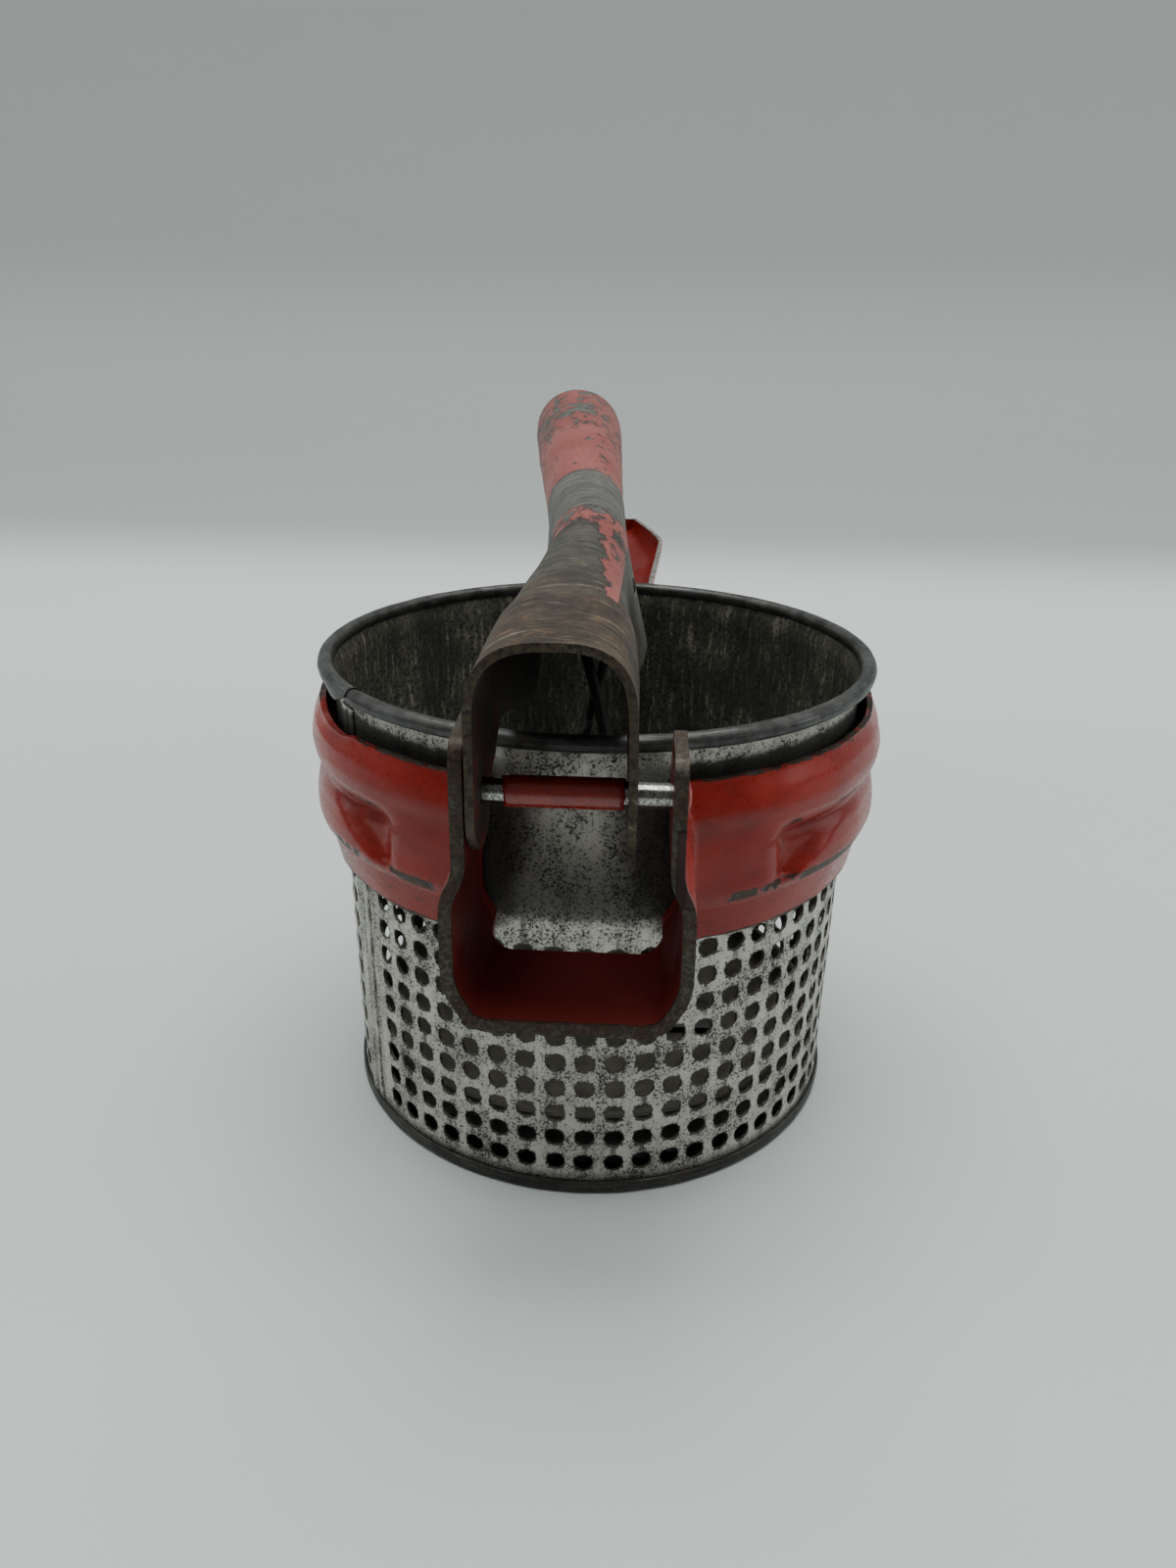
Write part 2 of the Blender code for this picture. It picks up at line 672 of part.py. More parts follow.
def plunger_link(name, side, mat, collection, cutters):
    """A strap from the pivot to the far foot. The two straps pass each other in half-width slots."""
    top_x, bend_z = 2.7, LINK_CROSS_Z + 10.0
    tab_z = PLATE_BOTTOM + PLATE_T + GAP + LINK_T / 2
    path = rounded_path([(top_x, PIVOT_Z + 4.5), (top_x, bend_z), (0, LINK_CROSS_Z),
                         (-FOOT_X, tab_z), (-FOOT_END, tab_z)], 2.0)
    outline = strip([(side * x, z) for x, z in path], LINK_T)
    link = prism(name, outline, -LINK_HALF_WIDTH, LINK_HALF_WIDTH, "Y", mat, collection)
    notch_start, notch_end = (-LINK_HALF_WIDTH - 1, 0.4) if side > 0 else (-0.4, LINK_HALF_WIDTH + 1)
    box = [(-6, LINK_CROSS_Z - 6.5), (6, LINK_CROSS_Z - 6.5), (6, LINK_CROSS_Z + 5.0),
           (-6, LINK_CROSS_Z + 5.0)]
    notch = prism("link_notch", box, notch_start, notch_end, "Y", None, cutters)
    boolean(link, cutter(notch), "DIFFERENCE")
    eye = cylinder_between("link_eye", (-20, 0, PIVOT_Z), (20, 0, PIVOT_Z), PIVOT_HOLE_R, cutters)
    boolean(link, cutter(eye), "DIFFERENCE")
    for y in (-FOOT_RIVET_Y, FOOT_RIVET_Y):
        x = -side * FOOT_RIVET_X
        hole = cylinder_between("foot_hole", (x, y, 0), (x, y, 12), FOOT_HOLE_R, cutters,
                                    steps=12)
        boolean(link, cutter(hole), "DIFFERENCE")
    apply_modifiers(link)
    return link


def plunger_plate(mat, collection, cutters):
    """The pressed plate with its turned-up rim."""
    low, high = PLATE_BOTTOM, PLATE_BOTTOM + PLATE_T
    outline = [(0, high), (PLATE_R - 2.6, high), (PLATE_R - 1.3, high + 1.3),
               (PLATE_R - PLATE_T, PLATE_RIM_TOP), (PLATE_R, PLATE_RIM_TOP),
               (PLATE_R, low + 2.0), (PLATE_R - 0.5, low + 0.7), (PLATE_R - 2.0, low), (0, low)]
    plate = turned("plunger_plate", outline, mat, collection)
    for x in (-FOOT_RIVET_X, FOOT_RIVET_X):
        for y in (-FOOT_RIVET_Y, FOOT_RIVET_Y):
            hole = cylinder_between("plate_hole", (x, y, 0), (x, y, 12), FOOT_HOLE_R, cutters,
                                    steps=12)
            boolean(plate, cutter(hole), "DIFFERENCE")
    apply_modifiers(plate)
    smooth(plate)
    return plate


def plunger_rivet(name, x, y, mat, collection):
    under = PLATE_BOTTOM - 0.15
    over = PLATE_BOTTOM + PLATE_T + GAP + LINK_T + 0.15
    outline = [(0, over + 0.9), (1.2, over + 0.8), (1.9, over + 0.4), (2.0, over), (1.1, over),
               (1.1, under), (2.0, under), (1.8, under - 0.6), (0, under - 0.6)]
    rivet = turned(name, outline, mat, collection, 12)
    rivet.location = (x * MM, y * MM, 0)
    return rivet


def build():
    clear_scene()
    parts = new_collection("hand_lever_ricer")
    cutters = new_collection("cutters")
    tin = material("tin_plate", (0.50, 0.50, 0.48), 0.42, 0.85)
    dark_tin = material("oxidised_tin", (0.16, 0.17, 0.17), 0.5, 0.8)
    red = material("red_enamel", (0.38, 0.03, 0.02), 0.3, 0.0)
    lever_steel = material("worn_lever", (0.24, 0.17, 0.14), 0.5, 0.5)
    bright = material("bright_steel", (0.62, 0.62, 0.62), 0.25, 1.0)
    plunger_tin = material("plunger_tin", (0.30, 0.30, 0.28), 0.45, 0.8)

    basket_wall(tin, parts)
    basket_bottom(tin, parts)
    side_seam(tin, parts)
    bottom_ring(dark_tin, parts)
    basket_rim(dark_tin, parts)
    rim_wire(dark_tin, parts)
    collar_frame(red, parts, cutters)
    lower_handle(red, parts, cutters)
    handle_rivet("handle_rivet_left", -RIVET_X, dark_tin, parts)
    handle_rivet("handle_rivet_right", RIVET_X, dark_tin, parts)
    hinge_pin(bright, parts)
    hinge_sleeve(red, parts)
    upper_lever(lever_steel, parts, cutters)
    pivot_pin(bright, parts)
    plunger_link("plunger_link_right", 1, plunger_tin, parts, cutters)
    plunger_link("plunger_link_left", -1, plunger_tin, parts, cutters)
    plunger_plate(plunger_tin, parts, cutters)
    for side, x in (("left", -FOOT_RIVET_X), ("right", FOOT_RIVET_X)):
        for end, y in (("front", -FOOT_RIVET_Y), ("rear", FOOT_RIVET_Y)):
            plunger_rivet(f"plunger_rivet_{side}_{end}", x, y, plunger_tin, parts)


build()
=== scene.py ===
import math

import bmesh
import bpy
from mathutils import Matrix, Vector, noise


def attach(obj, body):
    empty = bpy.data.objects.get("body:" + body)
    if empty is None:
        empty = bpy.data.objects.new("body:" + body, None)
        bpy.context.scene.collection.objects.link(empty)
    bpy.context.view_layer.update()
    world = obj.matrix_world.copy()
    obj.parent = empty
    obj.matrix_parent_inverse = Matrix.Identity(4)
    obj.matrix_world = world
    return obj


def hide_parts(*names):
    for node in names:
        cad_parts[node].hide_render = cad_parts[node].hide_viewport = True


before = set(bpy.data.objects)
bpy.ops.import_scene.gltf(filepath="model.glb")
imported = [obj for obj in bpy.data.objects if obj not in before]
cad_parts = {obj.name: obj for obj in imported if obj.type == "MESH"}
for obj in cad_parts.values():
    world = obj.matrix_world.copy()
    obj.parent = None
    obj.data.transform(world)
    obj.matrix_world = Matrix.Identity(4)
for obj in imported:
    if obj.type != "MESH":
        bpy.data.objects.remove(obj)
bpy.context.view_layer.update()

MM = 0.001
MERGE_DIST = 1e-6          # vertices closer than this become one, in metres

# ------------------------------------------------------------------ driving sizes, mm
# Basket
BASE_R = 44.3
WALL_SLOPE = 0.0132
WALL_T = 0.45
WALL_BOTTOM = 0.7
WALL_TOP = 80.3
RIM_R = 46.6
RIM_BEAD_R = 1.38
RIM_TOP = 82.08
SEAM_AZIMUTH = -57.5       # degrees from -Y, positive towards +X
SEAM_WIDTH = 4.6
BAND_TOP = 2.3
HOLE_COLUMNS = 58
HOLE_ROWS = 9
HOLE_R = 1.6
FIRST_ROW_Z = 5.98
ROW_PITCH = 4.915
FIRST_COLUMN = 1.5         # azimuth of a column of holes, degrees
CELL_CUTS = 4              # mesh divisions along each side of a hole's cell
FLUTE_DEPTH = 0.09         # how far the wall stands out between two columns of holes
WALL_UNEVEN = 0.10
WALL_FLARE = 0.9           # how far the wall leans out under the rim
RIM_STRIP_T = 0.30
SEAM_TOP = 77.2
FLOOR_RINGS = 7            # rings of holes in the basket's floor
FLOOR_RING_STEP = 5.2

# Frame stamping
COLLAR_BOTTOM = 48.3
COLLAR_TOP = 75.2
COLLAR_T = 1.0
YOKE_T = 1.7
YOKE_FRONT = -72.0
YOKE_REAR = -44.5
EAR_X = 13.35
EAR_TOP = 90.1             # left ear
RIGHT_EAR_TOP = 88.3
JOG_X = 15.25
FLOOR_Z = 50.85
FLOOR_HALF = 12.6          # half the width of the yoke's floor
FLOOR_EDGE = -53.7
BEND_R = 2.2
POCKET_DEPTH = 1.7         # of the pressed pocket beside each rib's start
LEDGE_HEIGHT = 0.45        # of the step under the lower rib

# Hinge
PIN_Y = -65.5
PIN_Z = 81.4
PIN_R = 1.6
PIN_HOLE_R = 1.85
BORE_REACH = 20.0          # half the length of a cutter for holes along X
SLEEVE_R = 2.05
SLEEVE_HALF = 7.5
SLEEVE_X = -0.9

# Lever
LEVER_T = 1.1
LEVER_FRONT = -73.0
LEVER_END = 199.0
LEG_R = 7.4
PIVOT_Z = 92.0
PIVOT_R = 1.5
PIVOT_HOLE_R = 1.7
PIVOT_SHARE = 0.33         # how far down the lever's wall the pivot sits

# Plunger
PLATE_R = 41.8
PLATE_BOTTOM = 4.2
PLATE_T = 1.0
PLATE_RIM_TOP = 13.0
LINK_T = 1.4
LINK_HALF_WIDTH = 5.0
LINK_CROSS_Z = 74.0
LINK_EYE_R = 1.65
FOOT_X = 13.5
FOOT_END = 23.5
FOOT_RIVET_X = 18.8
FOOT_RIVET_Y = 2.6
FOOT_RIVET_R = 2.0
FOOT_SHANK_R = 1.1
RING_R = 31.0              # the plate's stiffening ring
RING_HEIGHT = 0.45

# Lower handle
HANDLE_T = 1.2
SADDLE_R = 50.2
SADDLE_HALF_ANGLE = 19.0
SADDLE_BOTTOM = 53.5
SADDLE_TOP = 70.5
HANDLE_START = 50.8
HANDLE_END = 201.0
RIVET_X = 13.0
RIVET_Z = 62.5
RIVET_INNER = 46.15        # radius at which the rivets' inner heads end
RIVET_HEAD_R = 2.9
RIVET_SHANK_R = 1.6
RIVET_HOLE_R = 1.7

# Camera
CAMERA_AT = (8.83, -199.29, 138.81)
CAMERA_PITCH = math.radians(22.75)
CAMERA_ROLL = math.radians(0.807)
CAMERA_TURN = math.radians(2.9)
CAMERA_LENS = 27.05

# Light
AIR_COLOR = (0.82, 0.85, 0.84, 1.0)
AIR_LIGHT = 0.17           # how strongly the air round the studio lights the object
AIR_SEEN = 0.45            # how bright it looks where the paper ends


# ------------------------------------------------------------------ mesh helpers

def new_object(name, bm, *mats):
    """An object from a bmesh; a closed mesh is turned so that its faces point out."""
    bmesh.ops.recalc_face_normals(bm, faces=bm.faces)
    closed = all(len(edge.link_faces) == 2 for edge in bm.edges)
    if closed and bm.calc_volume(signed=True) < 0:
        bmesh.ops.reverse_faces(bm, faces=bm.faces)
    mesh = bpy.data.meshes.new(name)
    bm.to_mesh(mesh)
    bm.free()
    obj = bpy.data.objects.new(name, mesh)
    bpy.context.scene.collection.objects.link(obj)
    for mat in mats:
        mesh.materials.append(mat)
    return obj


def smooth(obj, degrees=35):
    obj.data.shade_smooth()
    obj.data.set_sharp_from_angle(angle=math.radians(degrees))


def apply_modifiers(obj):
    bpy.context.view_layer.update()
    evaluated = obj.evaluated_get(bpy.context.evaluated_depsgraph_get())
    mesh = bpy.data.meshes.new_from_object(evaluated)
    obj.modifiers.clear()
    obj.data = mesh


def cut(obj, others, operation="DIFFERENCE"):
    """Boolean each of the others into obj, then remove them."""
    for other in others:
        mod = obj.modifiers.new("cut", "BOOLEAN")
        mod.operation = operation
        mod.object = other
        mod.solver = "EXACT"
    apply_modifiers(obj)
    for other in others:
        bpy.data.objects.remove(other, do_unlink=True)


def bevel(obj, width, segments, degrees):
    mod = obj.modifiers.new("edge", "BEVEL")
    mod.width = width * MM
    mod.segments = segments
    mod.limit_method = "ANGLE"
    mod.angle_limit = math.radians(degrees)
    mod.use_clamp_overlap = True
    apply_modifiers(obj)


def thicken(obj, thickness, inner_slot=0, edge_slot=0):
    mod = obj.modifiers.new("sheet", "SOLIDIFY")
    mod.thickness = thickness * MM
    mod.offset = -1
    mod.use_even_offset = True
    mod.material_offset = inner_slot
    mod.material_offset_rim = edge_slot
    apply_modifiers(obj)


def vert_grid(bm, rows):
    """A vertex at every point of the rows, which are in mm."""
    return [[bm.verts.new(Vector(p) * MM) for p in row] for row in rows]


def join_rows(bm, grid, ring=True):
    """Quads between neighbouring rows. ring joins each row's last vertex to its first."""
    for a, b in zip(grid, grid[1:]):
        for i in range(len(a) if ring else len(a) - 1):
            j = (i + 1) % len(a)
            bm.faces.new((a[i], a[j], b[j], b[i]))


def sheet_grid(name, rows, mats, cap_last=False):
    """An open surface through rows of points."""
    bm = bmesh.new()
    grid = vert_grid(bm, rows)
    join_rows(bm, grid, ring=False)
    if cap_last:
        bm.faces.new(grid[-1])
    return new_object(name, bm, *mats)


def tube_grid(name, rows, mats):
    """A closed body through rows of closed sections, with capped ends."""
    bm = bmesh.new()
    grid = vert_grid(bm, rows)
    join_rows(bm, grid)
    bm.faces.new(grid[0])
    bm.faces.new(grid[-1])
    return new_object(name, bm, *mats)


def ring_grid(name, rows, mats):
    """A closed body through rows of closed sections, the last joined to the first."""
    bm = bmesh.new()
    grid = vert_grid(bm, rows)
    join_rows(bm, grid + grid[:1])
    return new_object(name, bm, *mats)


def face_outward(obj, inside):
    """Turn an open sheet's normals away from a point inside it, in mm."""
    bm = bmesh.new()
    bm.from_mesh(obj.data)
    point = Vector(inside) * MM
    face = min(bm.faces, key=lambda f: (f.calc_center_median() - point).length)
    if (face.calc_center_median() - point).dot(face.normal) < 0:
        bmesh.ops.reverse_faces(bm, faces=bm.faces)
    bm.to_mesh(obj.data)
    bm.free()


def ring_point(radius, azimuth, z):
    """A point at an azimuth in radians from -Y, positive towards +X."""
    return (radius * math.sin(azimuth), -radius * math.cos(azimuth), z)


def lathe(name, outline, mats, steps, closed=False):
    """Turn (radius, height) points about Z. Points on the axis are merged."""
    rows = [[ring_point(r, math.tau * k / steps, z) for k in range(steps)] for r, z in outline]
    if closed:
        rows.append(rows[0])
    bm = bmesh.new()
    join_rows(bm, vert_grid(bm, rows))
    bmesh.ops.remove_doubles(bm, verts=bm.verts, dist=MERGE_DIST)
    bmesh.ops.dissolve_degenerate(bm, edges=bm.edges, dist=MERGE_DIST / 2)
    obj = new_object(name, bm, *mats)
    smooth(obj)
    return obj


def rounded_outline(points, radius, steps):
    """An open outline with its inner corners rounded off."""
    corners = [Vector(p) for p in points]
    path = [corners[0]]
    for before, corner, after in zip(corners, corners[1:], corners[2:]):
        reach = min(radius, (before - corner).length * 0.45, (after - corner).length * 0.45)
        enter = corner + (before - corner).normalized() * reach
        leave = corner + (after - corner).normalized() * reach
        for k in range(steps + 1):
            t = k / steps
            path.append(enter * (1 - t) ** 2 + corner * 2 * t * (1 - t) + leave * t ** 2)
    path.append(corners[-1])
    return [tuple(p) for p in path]


def headed_pin(name, head, half, parts, mats, steps):
    """A pin with the same head at both ends and its shaft in short rings between them."""
    shaft = [(head[-1][0], half * (1 - k / parts)) for k in range(1, 2 * parts)]
    return lathe(name, head + shaft + [(r, -z) for r, z in head[::-1]], mats, steps)


def arc(centre, radii, start, end, steps):
    """Points round an ellipse, from one angle to another in degrees."""
    turns = [math.radians(start + (end - start) * k / steps) for k in range(steps + 1)]
    return [(centre[0] + radii[0] * math.cos(a), centre[1] + radii[1] * math.sin(a))
            for a in turns]


def lay_along_x(obj, x, y, z):
    """Turn a lathed piece's axis to X and set it in place, in its mesh."""
    turn = Matrix.Rotation(math.radians(90), 4, "Y")
    obj.data.transform(Matrix.Translation(Vector((x, y, z)) * MM) @ turn)


def cylinder(name, start, end, radius, steps):
    axis = Vector(end) - Vector(start)
    bm = bmesh.new()
    bmesh.ops.create_cone(bm, cap_ends=True, segments=steps, radius1=radius * MM,
                          radius2=radius * MM, depth=axis.length * MM)
    turn = axis.to_track_quat("Z", "Y").to_matrix().to_4x4()
    bm.transform(Matrix.Translation((Vector(start) + Vector(end)) / 2 * MM) @ turn)
    return new_object(name, bm)


def cross_bore(y, z, radius, steps=48):
    """A cutter for a hole along X, longer than any piece it goes through is wide."""
    return cylinder("cross_bore", (-BORE_REACH, y, z), (BORE_REACH, y, z), radius, steps)


def prism(name, outline, start, end, axis, mats=()):
    """Extrude a closed outline along axis X, Y or Z between two places, in mm."""
    order = {"X": lambda p, s: (s, p[0], p[1]), "Y": lambda p, s: (p[0], s, p[1]),
             "Z": lambda p, s: (p[0], p[1], s)}[axis]
    return tube_grid(name, [[order(p, start) for p in outline], [order(p, end) for p in outline]],
                     mats)


def strip(path, thickness):
    """The closed outline of a sheet of even thickness whose middle follows path."""
    points = [Vector(p) for p in path]
    left = []
    right = []
    for i, point in enumerate(points):
        before = (point - points[i - 1]).normalized() if i > 0 else None
        after = (points[i + 1] - point).normalized() if i < len(points) - 1 else None
        before = before if before is not None else after
        after = after if after is not None else before
        mid = (before + after).normalized()
        normal = Vector((-mid.y, mid.x))
        half = thickness / 2 / max(0.5, mid.dot(after))
        left.append(point + normal * half)
        right.append(point - normal * half)
    return [tuple(p) for p in left + right[::-1]]


def straight(knots, x):
    """The broken line through (x, value) knots."""
    if x <= knots[0][0]:
        return knots[0][1]
    for (x0, v0), (x1, v1) in zip(knots, knots[1:]):
        if x <= x1:
            return v0 + (v1 - v0) * (x - x0) / (x1 - x0)
    return knots[-1][1]


def ease(knots, x, reach=6.0):
    """The broken line with its corners eased over a short reach."""
    steps = [k / 4 for k in range(-4, 5)]
    return sum(straight(knots, x + reach * k) for k in steps) / len(steps)


def smoothstep(low, high, x):
    t = min(1.0, max(0.0, (x - low) / (high - low)))
    return t * t * (3 - 2 * t)


def lumps(x, y, z, scale, seed):
    """Gentle seeded unevenness, about -1 to 1, at a size of scale mm."""
    return noise.noise(Vector((x / scale + seed, y / scale - seed, z / scale + seed * 2)))


def dent(obj, depth, scale, seed):
    """Push every vertex a little, so that pressed sheet isn't perfectly true."""
    for vert in obj.data.vertices:
        p = vert.co / MM
        shift = Vector((lumps(p.x, p.y, p.z, scale, seed), lumps(p.y, p.z, p.x, scale, seed + 9),
                        lumps(p.z, p.x, p.y, scale, seed + 17)))
        vert.co += shift * depth * MM


# ------------------------------------------------------------------ materials

class Paint:
    """One material's node tree. Its calls return output sockets, and work in mm."""

    def __init__(self, name):
        self.mat = bpy.data.materials.new(name)
        self.mat.use_nodes = True
        self.tree = self.mat.node_tree
        self.shader = self.tree.nodes["Principled BSDF"]
        coord = self.tree.nodes.new("ShaderNodeTexCoord")
        scale = self.tree.nodes.new("ShaderNodeVectorMath")
        scale.operation = "SCALE"
        scale.inputs["Scale"].default_value = 1 / MM
        self.tree.links.new(coord.outputs["Object"], scale.inputs[0])
        self.place = scale.outputs["Vector"]
        split = self.tree.nodes.new("ShaderNodeSeparateXYZ")
        self.tree.links.new(self.place, split.inputs[0])
        self.x, self.y, self.z = split.outputs

    def plug(self, value, socket):
        if isinstance(value, bpy.types.NodeSocket):
            self.tree.links.new(value, socket)
        elif isinstance(value, tuple) and len(value) == 3 and len(socket.default_value) == 4:
            socket.default_value = (*value, 1.0)
        else:
            socket.default_value = value

    def math(self, operation, a, b=0.0):
        node = self.tree.nodes.new("ShaderNodeMath")
        node.operation = operation
        self.plug(a, node.inputs[0])
        self.plug(b, node.inputs[1])
        return node.outputs[0]

    def both(self, *values):
        """The product of values: as masks, where all of them hold."""
        result = values[0]
        for value in values[1:]:
            result = self.math("MULTIPLY", result, value)
        return result

    def most(self, *values):
        """The highest of values: as masks, where any of them holds."""
        result = values[0]
        for value in values[1:]:
            result = self.math("MAXIMUM", result, value)
        return result

    def moved(self, value, by, amount):
        """value shifted by amount times by, which frays the edge of a mask made from it."""
        return self.math("ADD", value, self.math("MULTIPLY", by, amount))

    def less(self, value, amount):
        return self.math("SUBTRACT", value, amount)

    def absolute(self, value):
        return self.math("ABSOLUTE", value)

    def vector(self, x, y, z):
        node = self.tree.nodes.new("ShaderNodeCombineXYZ")
        for value, socket in zip((x, y, z), node.inputs):
            self.plug(value, socket)
        return node.outputs[0]

    def stretch(self, sx, sy, sz):
        node = self.tree.nodes.new("ShaderNodeVectorMath")
        node.operation = "MULTIPLY"
        self.plug(self.place, node.inputs[0])
        node.inputs[1].default_value = (sx, sy, sz)
        return node.outputs["Vector"]

    def around(self, turn, up, out=0.0):
        """Distance round the basket and height, each stretched, as a place to read noise at."""
        radius = self.math("SQRT", self.moved(self.both(self.x, self.x), self.y, self.y))
        return self.vector(self.both(self.turn(), BASE_R * turn), self.both(radius, out),
                           self.both(self.z, up))

    def noise(self, size, place=None, detail=4.0, rough=0.55, distortion=0.0):
        """Noise whose blobs are about size mm across, 0 to 1."""
        node = self.tree.nodes.new("ShaderNodeTexNoise")
        self.plug(place or self.place, node.inputs["Vector"])
        node.inputs["Scale"].default_value = 1 / size
        node.inputs["Detail"].default_value = detail
        node.inputs["Roughness"].default_value = rough
        node.inputs["Distortion"].default_value = distortion
        return node.outputs["Fac"]

    def turn(self):
        """Radians from -Y, positive towards +X."""
        return self.math("ARCTAN2", self.x, self.both(self.y, -1.0))

    def azimuth(self):
        return self.math("DEGREES", self.turn())

    def attribute(self, name):
        node = self.tree.nodes.new("ShaderNodeAttribute")
        node.attribute_name = name
        return node.outputs["Fac"]

    def step(self, value, low, high, out_low=0.0, out_high=1.0):
        node = self.tree.nodes.new("ShaderNodeMapRange")
        node.interpolation_type = "SMOOTHSTEP"
        self.plug(value, node.inputs["Value"])
        node.inputs["From Min"].default_value = low
        node.inputs["From Max"].default_value = high
        node.inputs["To Min"].default_value = out_low
        node.inputs["To Max"].default_value = out_high
        return node.outputs["Result"]

    def near(self, value, centre, width, soft):
        """1 where value is within width of centre, fading to 0 over soft."""
        off = self.math("ABSOLUTE", self.math("SUBTRACT", value, centre))
        return self.step(off, width, width + soft, 1.0, 0.0)

    def mix(self, factor, a, b):
        node = self.tree.nodes.new("ShaderNodeMix")
        node.data_type = "RGBA"
        self.plug(factor, node.inputs[0])
        self.plug(a, node.inputs[6])
        self.plug(b, node.inputs[7])
        return node.outputs[2]

    def layers(self, base, *coats):
        """Coats of (field, low, high, amount, color) laid over base, each where its field is high."""
        for field, low, high, amount, color in coats:
            base = self.mix(self.step(field, low, high, 0.0, amount), base, color)
        return base

    def blend(self, factor, a, b):
        node = self.tree.nodes.new("ShaderNodeMix")
        node.data_type = "FLOAT"
        self.plug(factor, node.inputs[0])
        self.plug(a, node.inputs[2])
        self.plug(b, node.inputs[3])
        return node.outputs[0]

    def bump(self, height, depth, strength, below=None):
        """Bump from a 0 to 1 height that stands depth mm tall."""
        node = self.tree.nodes.new("ShaderNodeBump")
        node.inputs["Strength"].default_value = strength
        node.inputs["Distance"].default_value = depth * MM
        self.plug(height, node.inputs["Height"])
        if below is not None:
            self.plug(below, node.inputs["Normal"])
        return node.outputs["Normal"]

    def finish(self, color, roughness, metallic, normal=None, **fixed):
        self.plug(color, self.shader.inputs["Base Color"])
        self.plug(roughness, self.shader.inputs["Roughness"])
        self.plug(metallic, self.shader.inputs["Metallic"])
        if normal is not None:
            self.plug(normal, self.shader.inputs["Normal"])
        for name, value in fixed.items():
            self.shader.inputs[name.replace("_", " ")].default_value = value
        return self.mat


RUST_DARK = (0.020, 0.014, 0.010)
RUST_BROWN = (0.070, 0.042, 0.024)
RUST_GREY = (0.090, 0.080, 0.064)
RED = (0.215, 0.011, 0.007)
RED_DEEP = (0.130, 0.006, 0.004)
RED_FADED = (0.270, 0.066, 0.057)


def painted_wall_shade(p):
    """Where the wall is painted black as shade: behind the collar, and round the edges of the yoke's gap.
    """
    ragged = p.both(p.less(p.noise(2.2, detail=5.0, rough=0.7), 0.5), 3.2)
    height = p.math("ADD", p.z, ragged)
    behind = p.both(p.step(height, 50.5, 52.5), p.step(height, 77.4, 76.2))
    side = p.absolute(p.math("ADD", p.azimuth(), 1.0))
    side = p.moved(side, ragged, 1.2)
    low = p.step(height, 66.0, 54.0)
    inside_yoke = p.most(p.step(side, 4.0, 13.0), p.both(low, 0.85))
    in_yoke = p.step(p.absolute(p.azimuth()), 18.0, 19.0, 1.0, 0.0)
    # painted shade strength: full away from the yoke; in the yoke's gap strongest at its sides and low
    # down
    lit = p.blend(in_yoke, 1.0, p.both(inside_yoke, p.step(height, 79.0, 70.0, 0.35, 0.9)))
    return p.both(behind, lit)


def tin_outer():
    """Tin plate with dense dark specks, streaks of painted shade between the holes, a dirty foot and
    painted black shade behind the collar.
    """
    p = Paint("tin_plate_outer")
    fine = p.noise(0.42, detail=3.0, rough=0.8)
    blotch = p.noise(6.0, p.around(1.0, 0.6), detail=5.0, rough=0.65)
    cover = p.moved(fine, p.less(blotch, 0.5), 0.50)
    specks = p.step(cover, 0.540, 0.575)
    pits = p.step(p.noise(1.1, detail=6.0, rough=0.8), 0.60, 0.64)
    ragged = p.both(p.less(p.noise(0.6, detail=4.0, rough=0.7), 0.5), 1.3)
    ring = p.step(p.math("ADD", p.attribute("pierced"), ragged), 0.78, 0.90)
    dark = p.most(specks, pits, ring)
    phase = p.both(p.less(p.azimuth(), FIRST_COLUMN), math.radians(HOLE_COLUMNS))
    column = p.step(p.math("COSINE", phase), 0.70, 0.98)
    # painted shade of the flutes: dark streaks down the hole columns on the lower wall
    flute_shade = p.both(column, p.step(p.noise(2.6, p.around(1.0, 0.8), detail=4.0), 0.45, 0.62),
                  p.step(p.z, 54.0, 50.0), 0.75)
    shade = p.noise(1.3, p.around(1.0, 0.10), detail=4.0)
    bright = p.mix(p.step(blotch, 0.30, 0.70), (0.580, 0.565, 0.500), (0.410, 0.400, 0.350))
    bright = p.mix(p.step(shade, 0.50, 0.75, 0.0, 0.45), bright, (0.220, 0.212, 0.180))
    bright = p.mix(flute_shade, bright, (0.060, 0.058, 0.048))
    foot = p.step(p.moved(p.z, ragged, 2.0), 2.4, 4.6, 0.75, 0.0)
    bright = p.mix(foot, bright, (0.075, 0.070, 0.058))
    color = p.mix(p.both(dark, 0.95), bright, (0.016, 0.015, 0.012))
    warm = p.step(p.noise(2.6, detail=6.0, rough=0.75), 0.62, 0.72, 0.0, 0.6)
    color = p.mix(warm, color, (0.120, 0.078, 0.042))
    # painted shade: the wall painted near black behind the collar and round the yoke's gap
    painted_gap_shade = painted_wall_shade(p)
    color = p.mix(p.both(painted_gap_shade, 0.94), color, (0.012, 0.010, 0.008))
    normal = p.bump(p.blend(dark, 1.0, 0.0), 0.05, 0.8)
    normal = p.bump(p.noise(2.5, p.around(1.0, 0.2)), 0.12, 0.6, normal)
    roughness = p.blend(p.most(dark, painted_gap_shade), p.step(shade, 0.3, 0.7, 0.36, 0.50), 0.66)
    return p.finish(color, roughness, p.blend(p.most(dark, painted_gap_shade), 0.45, 0.15), normal)


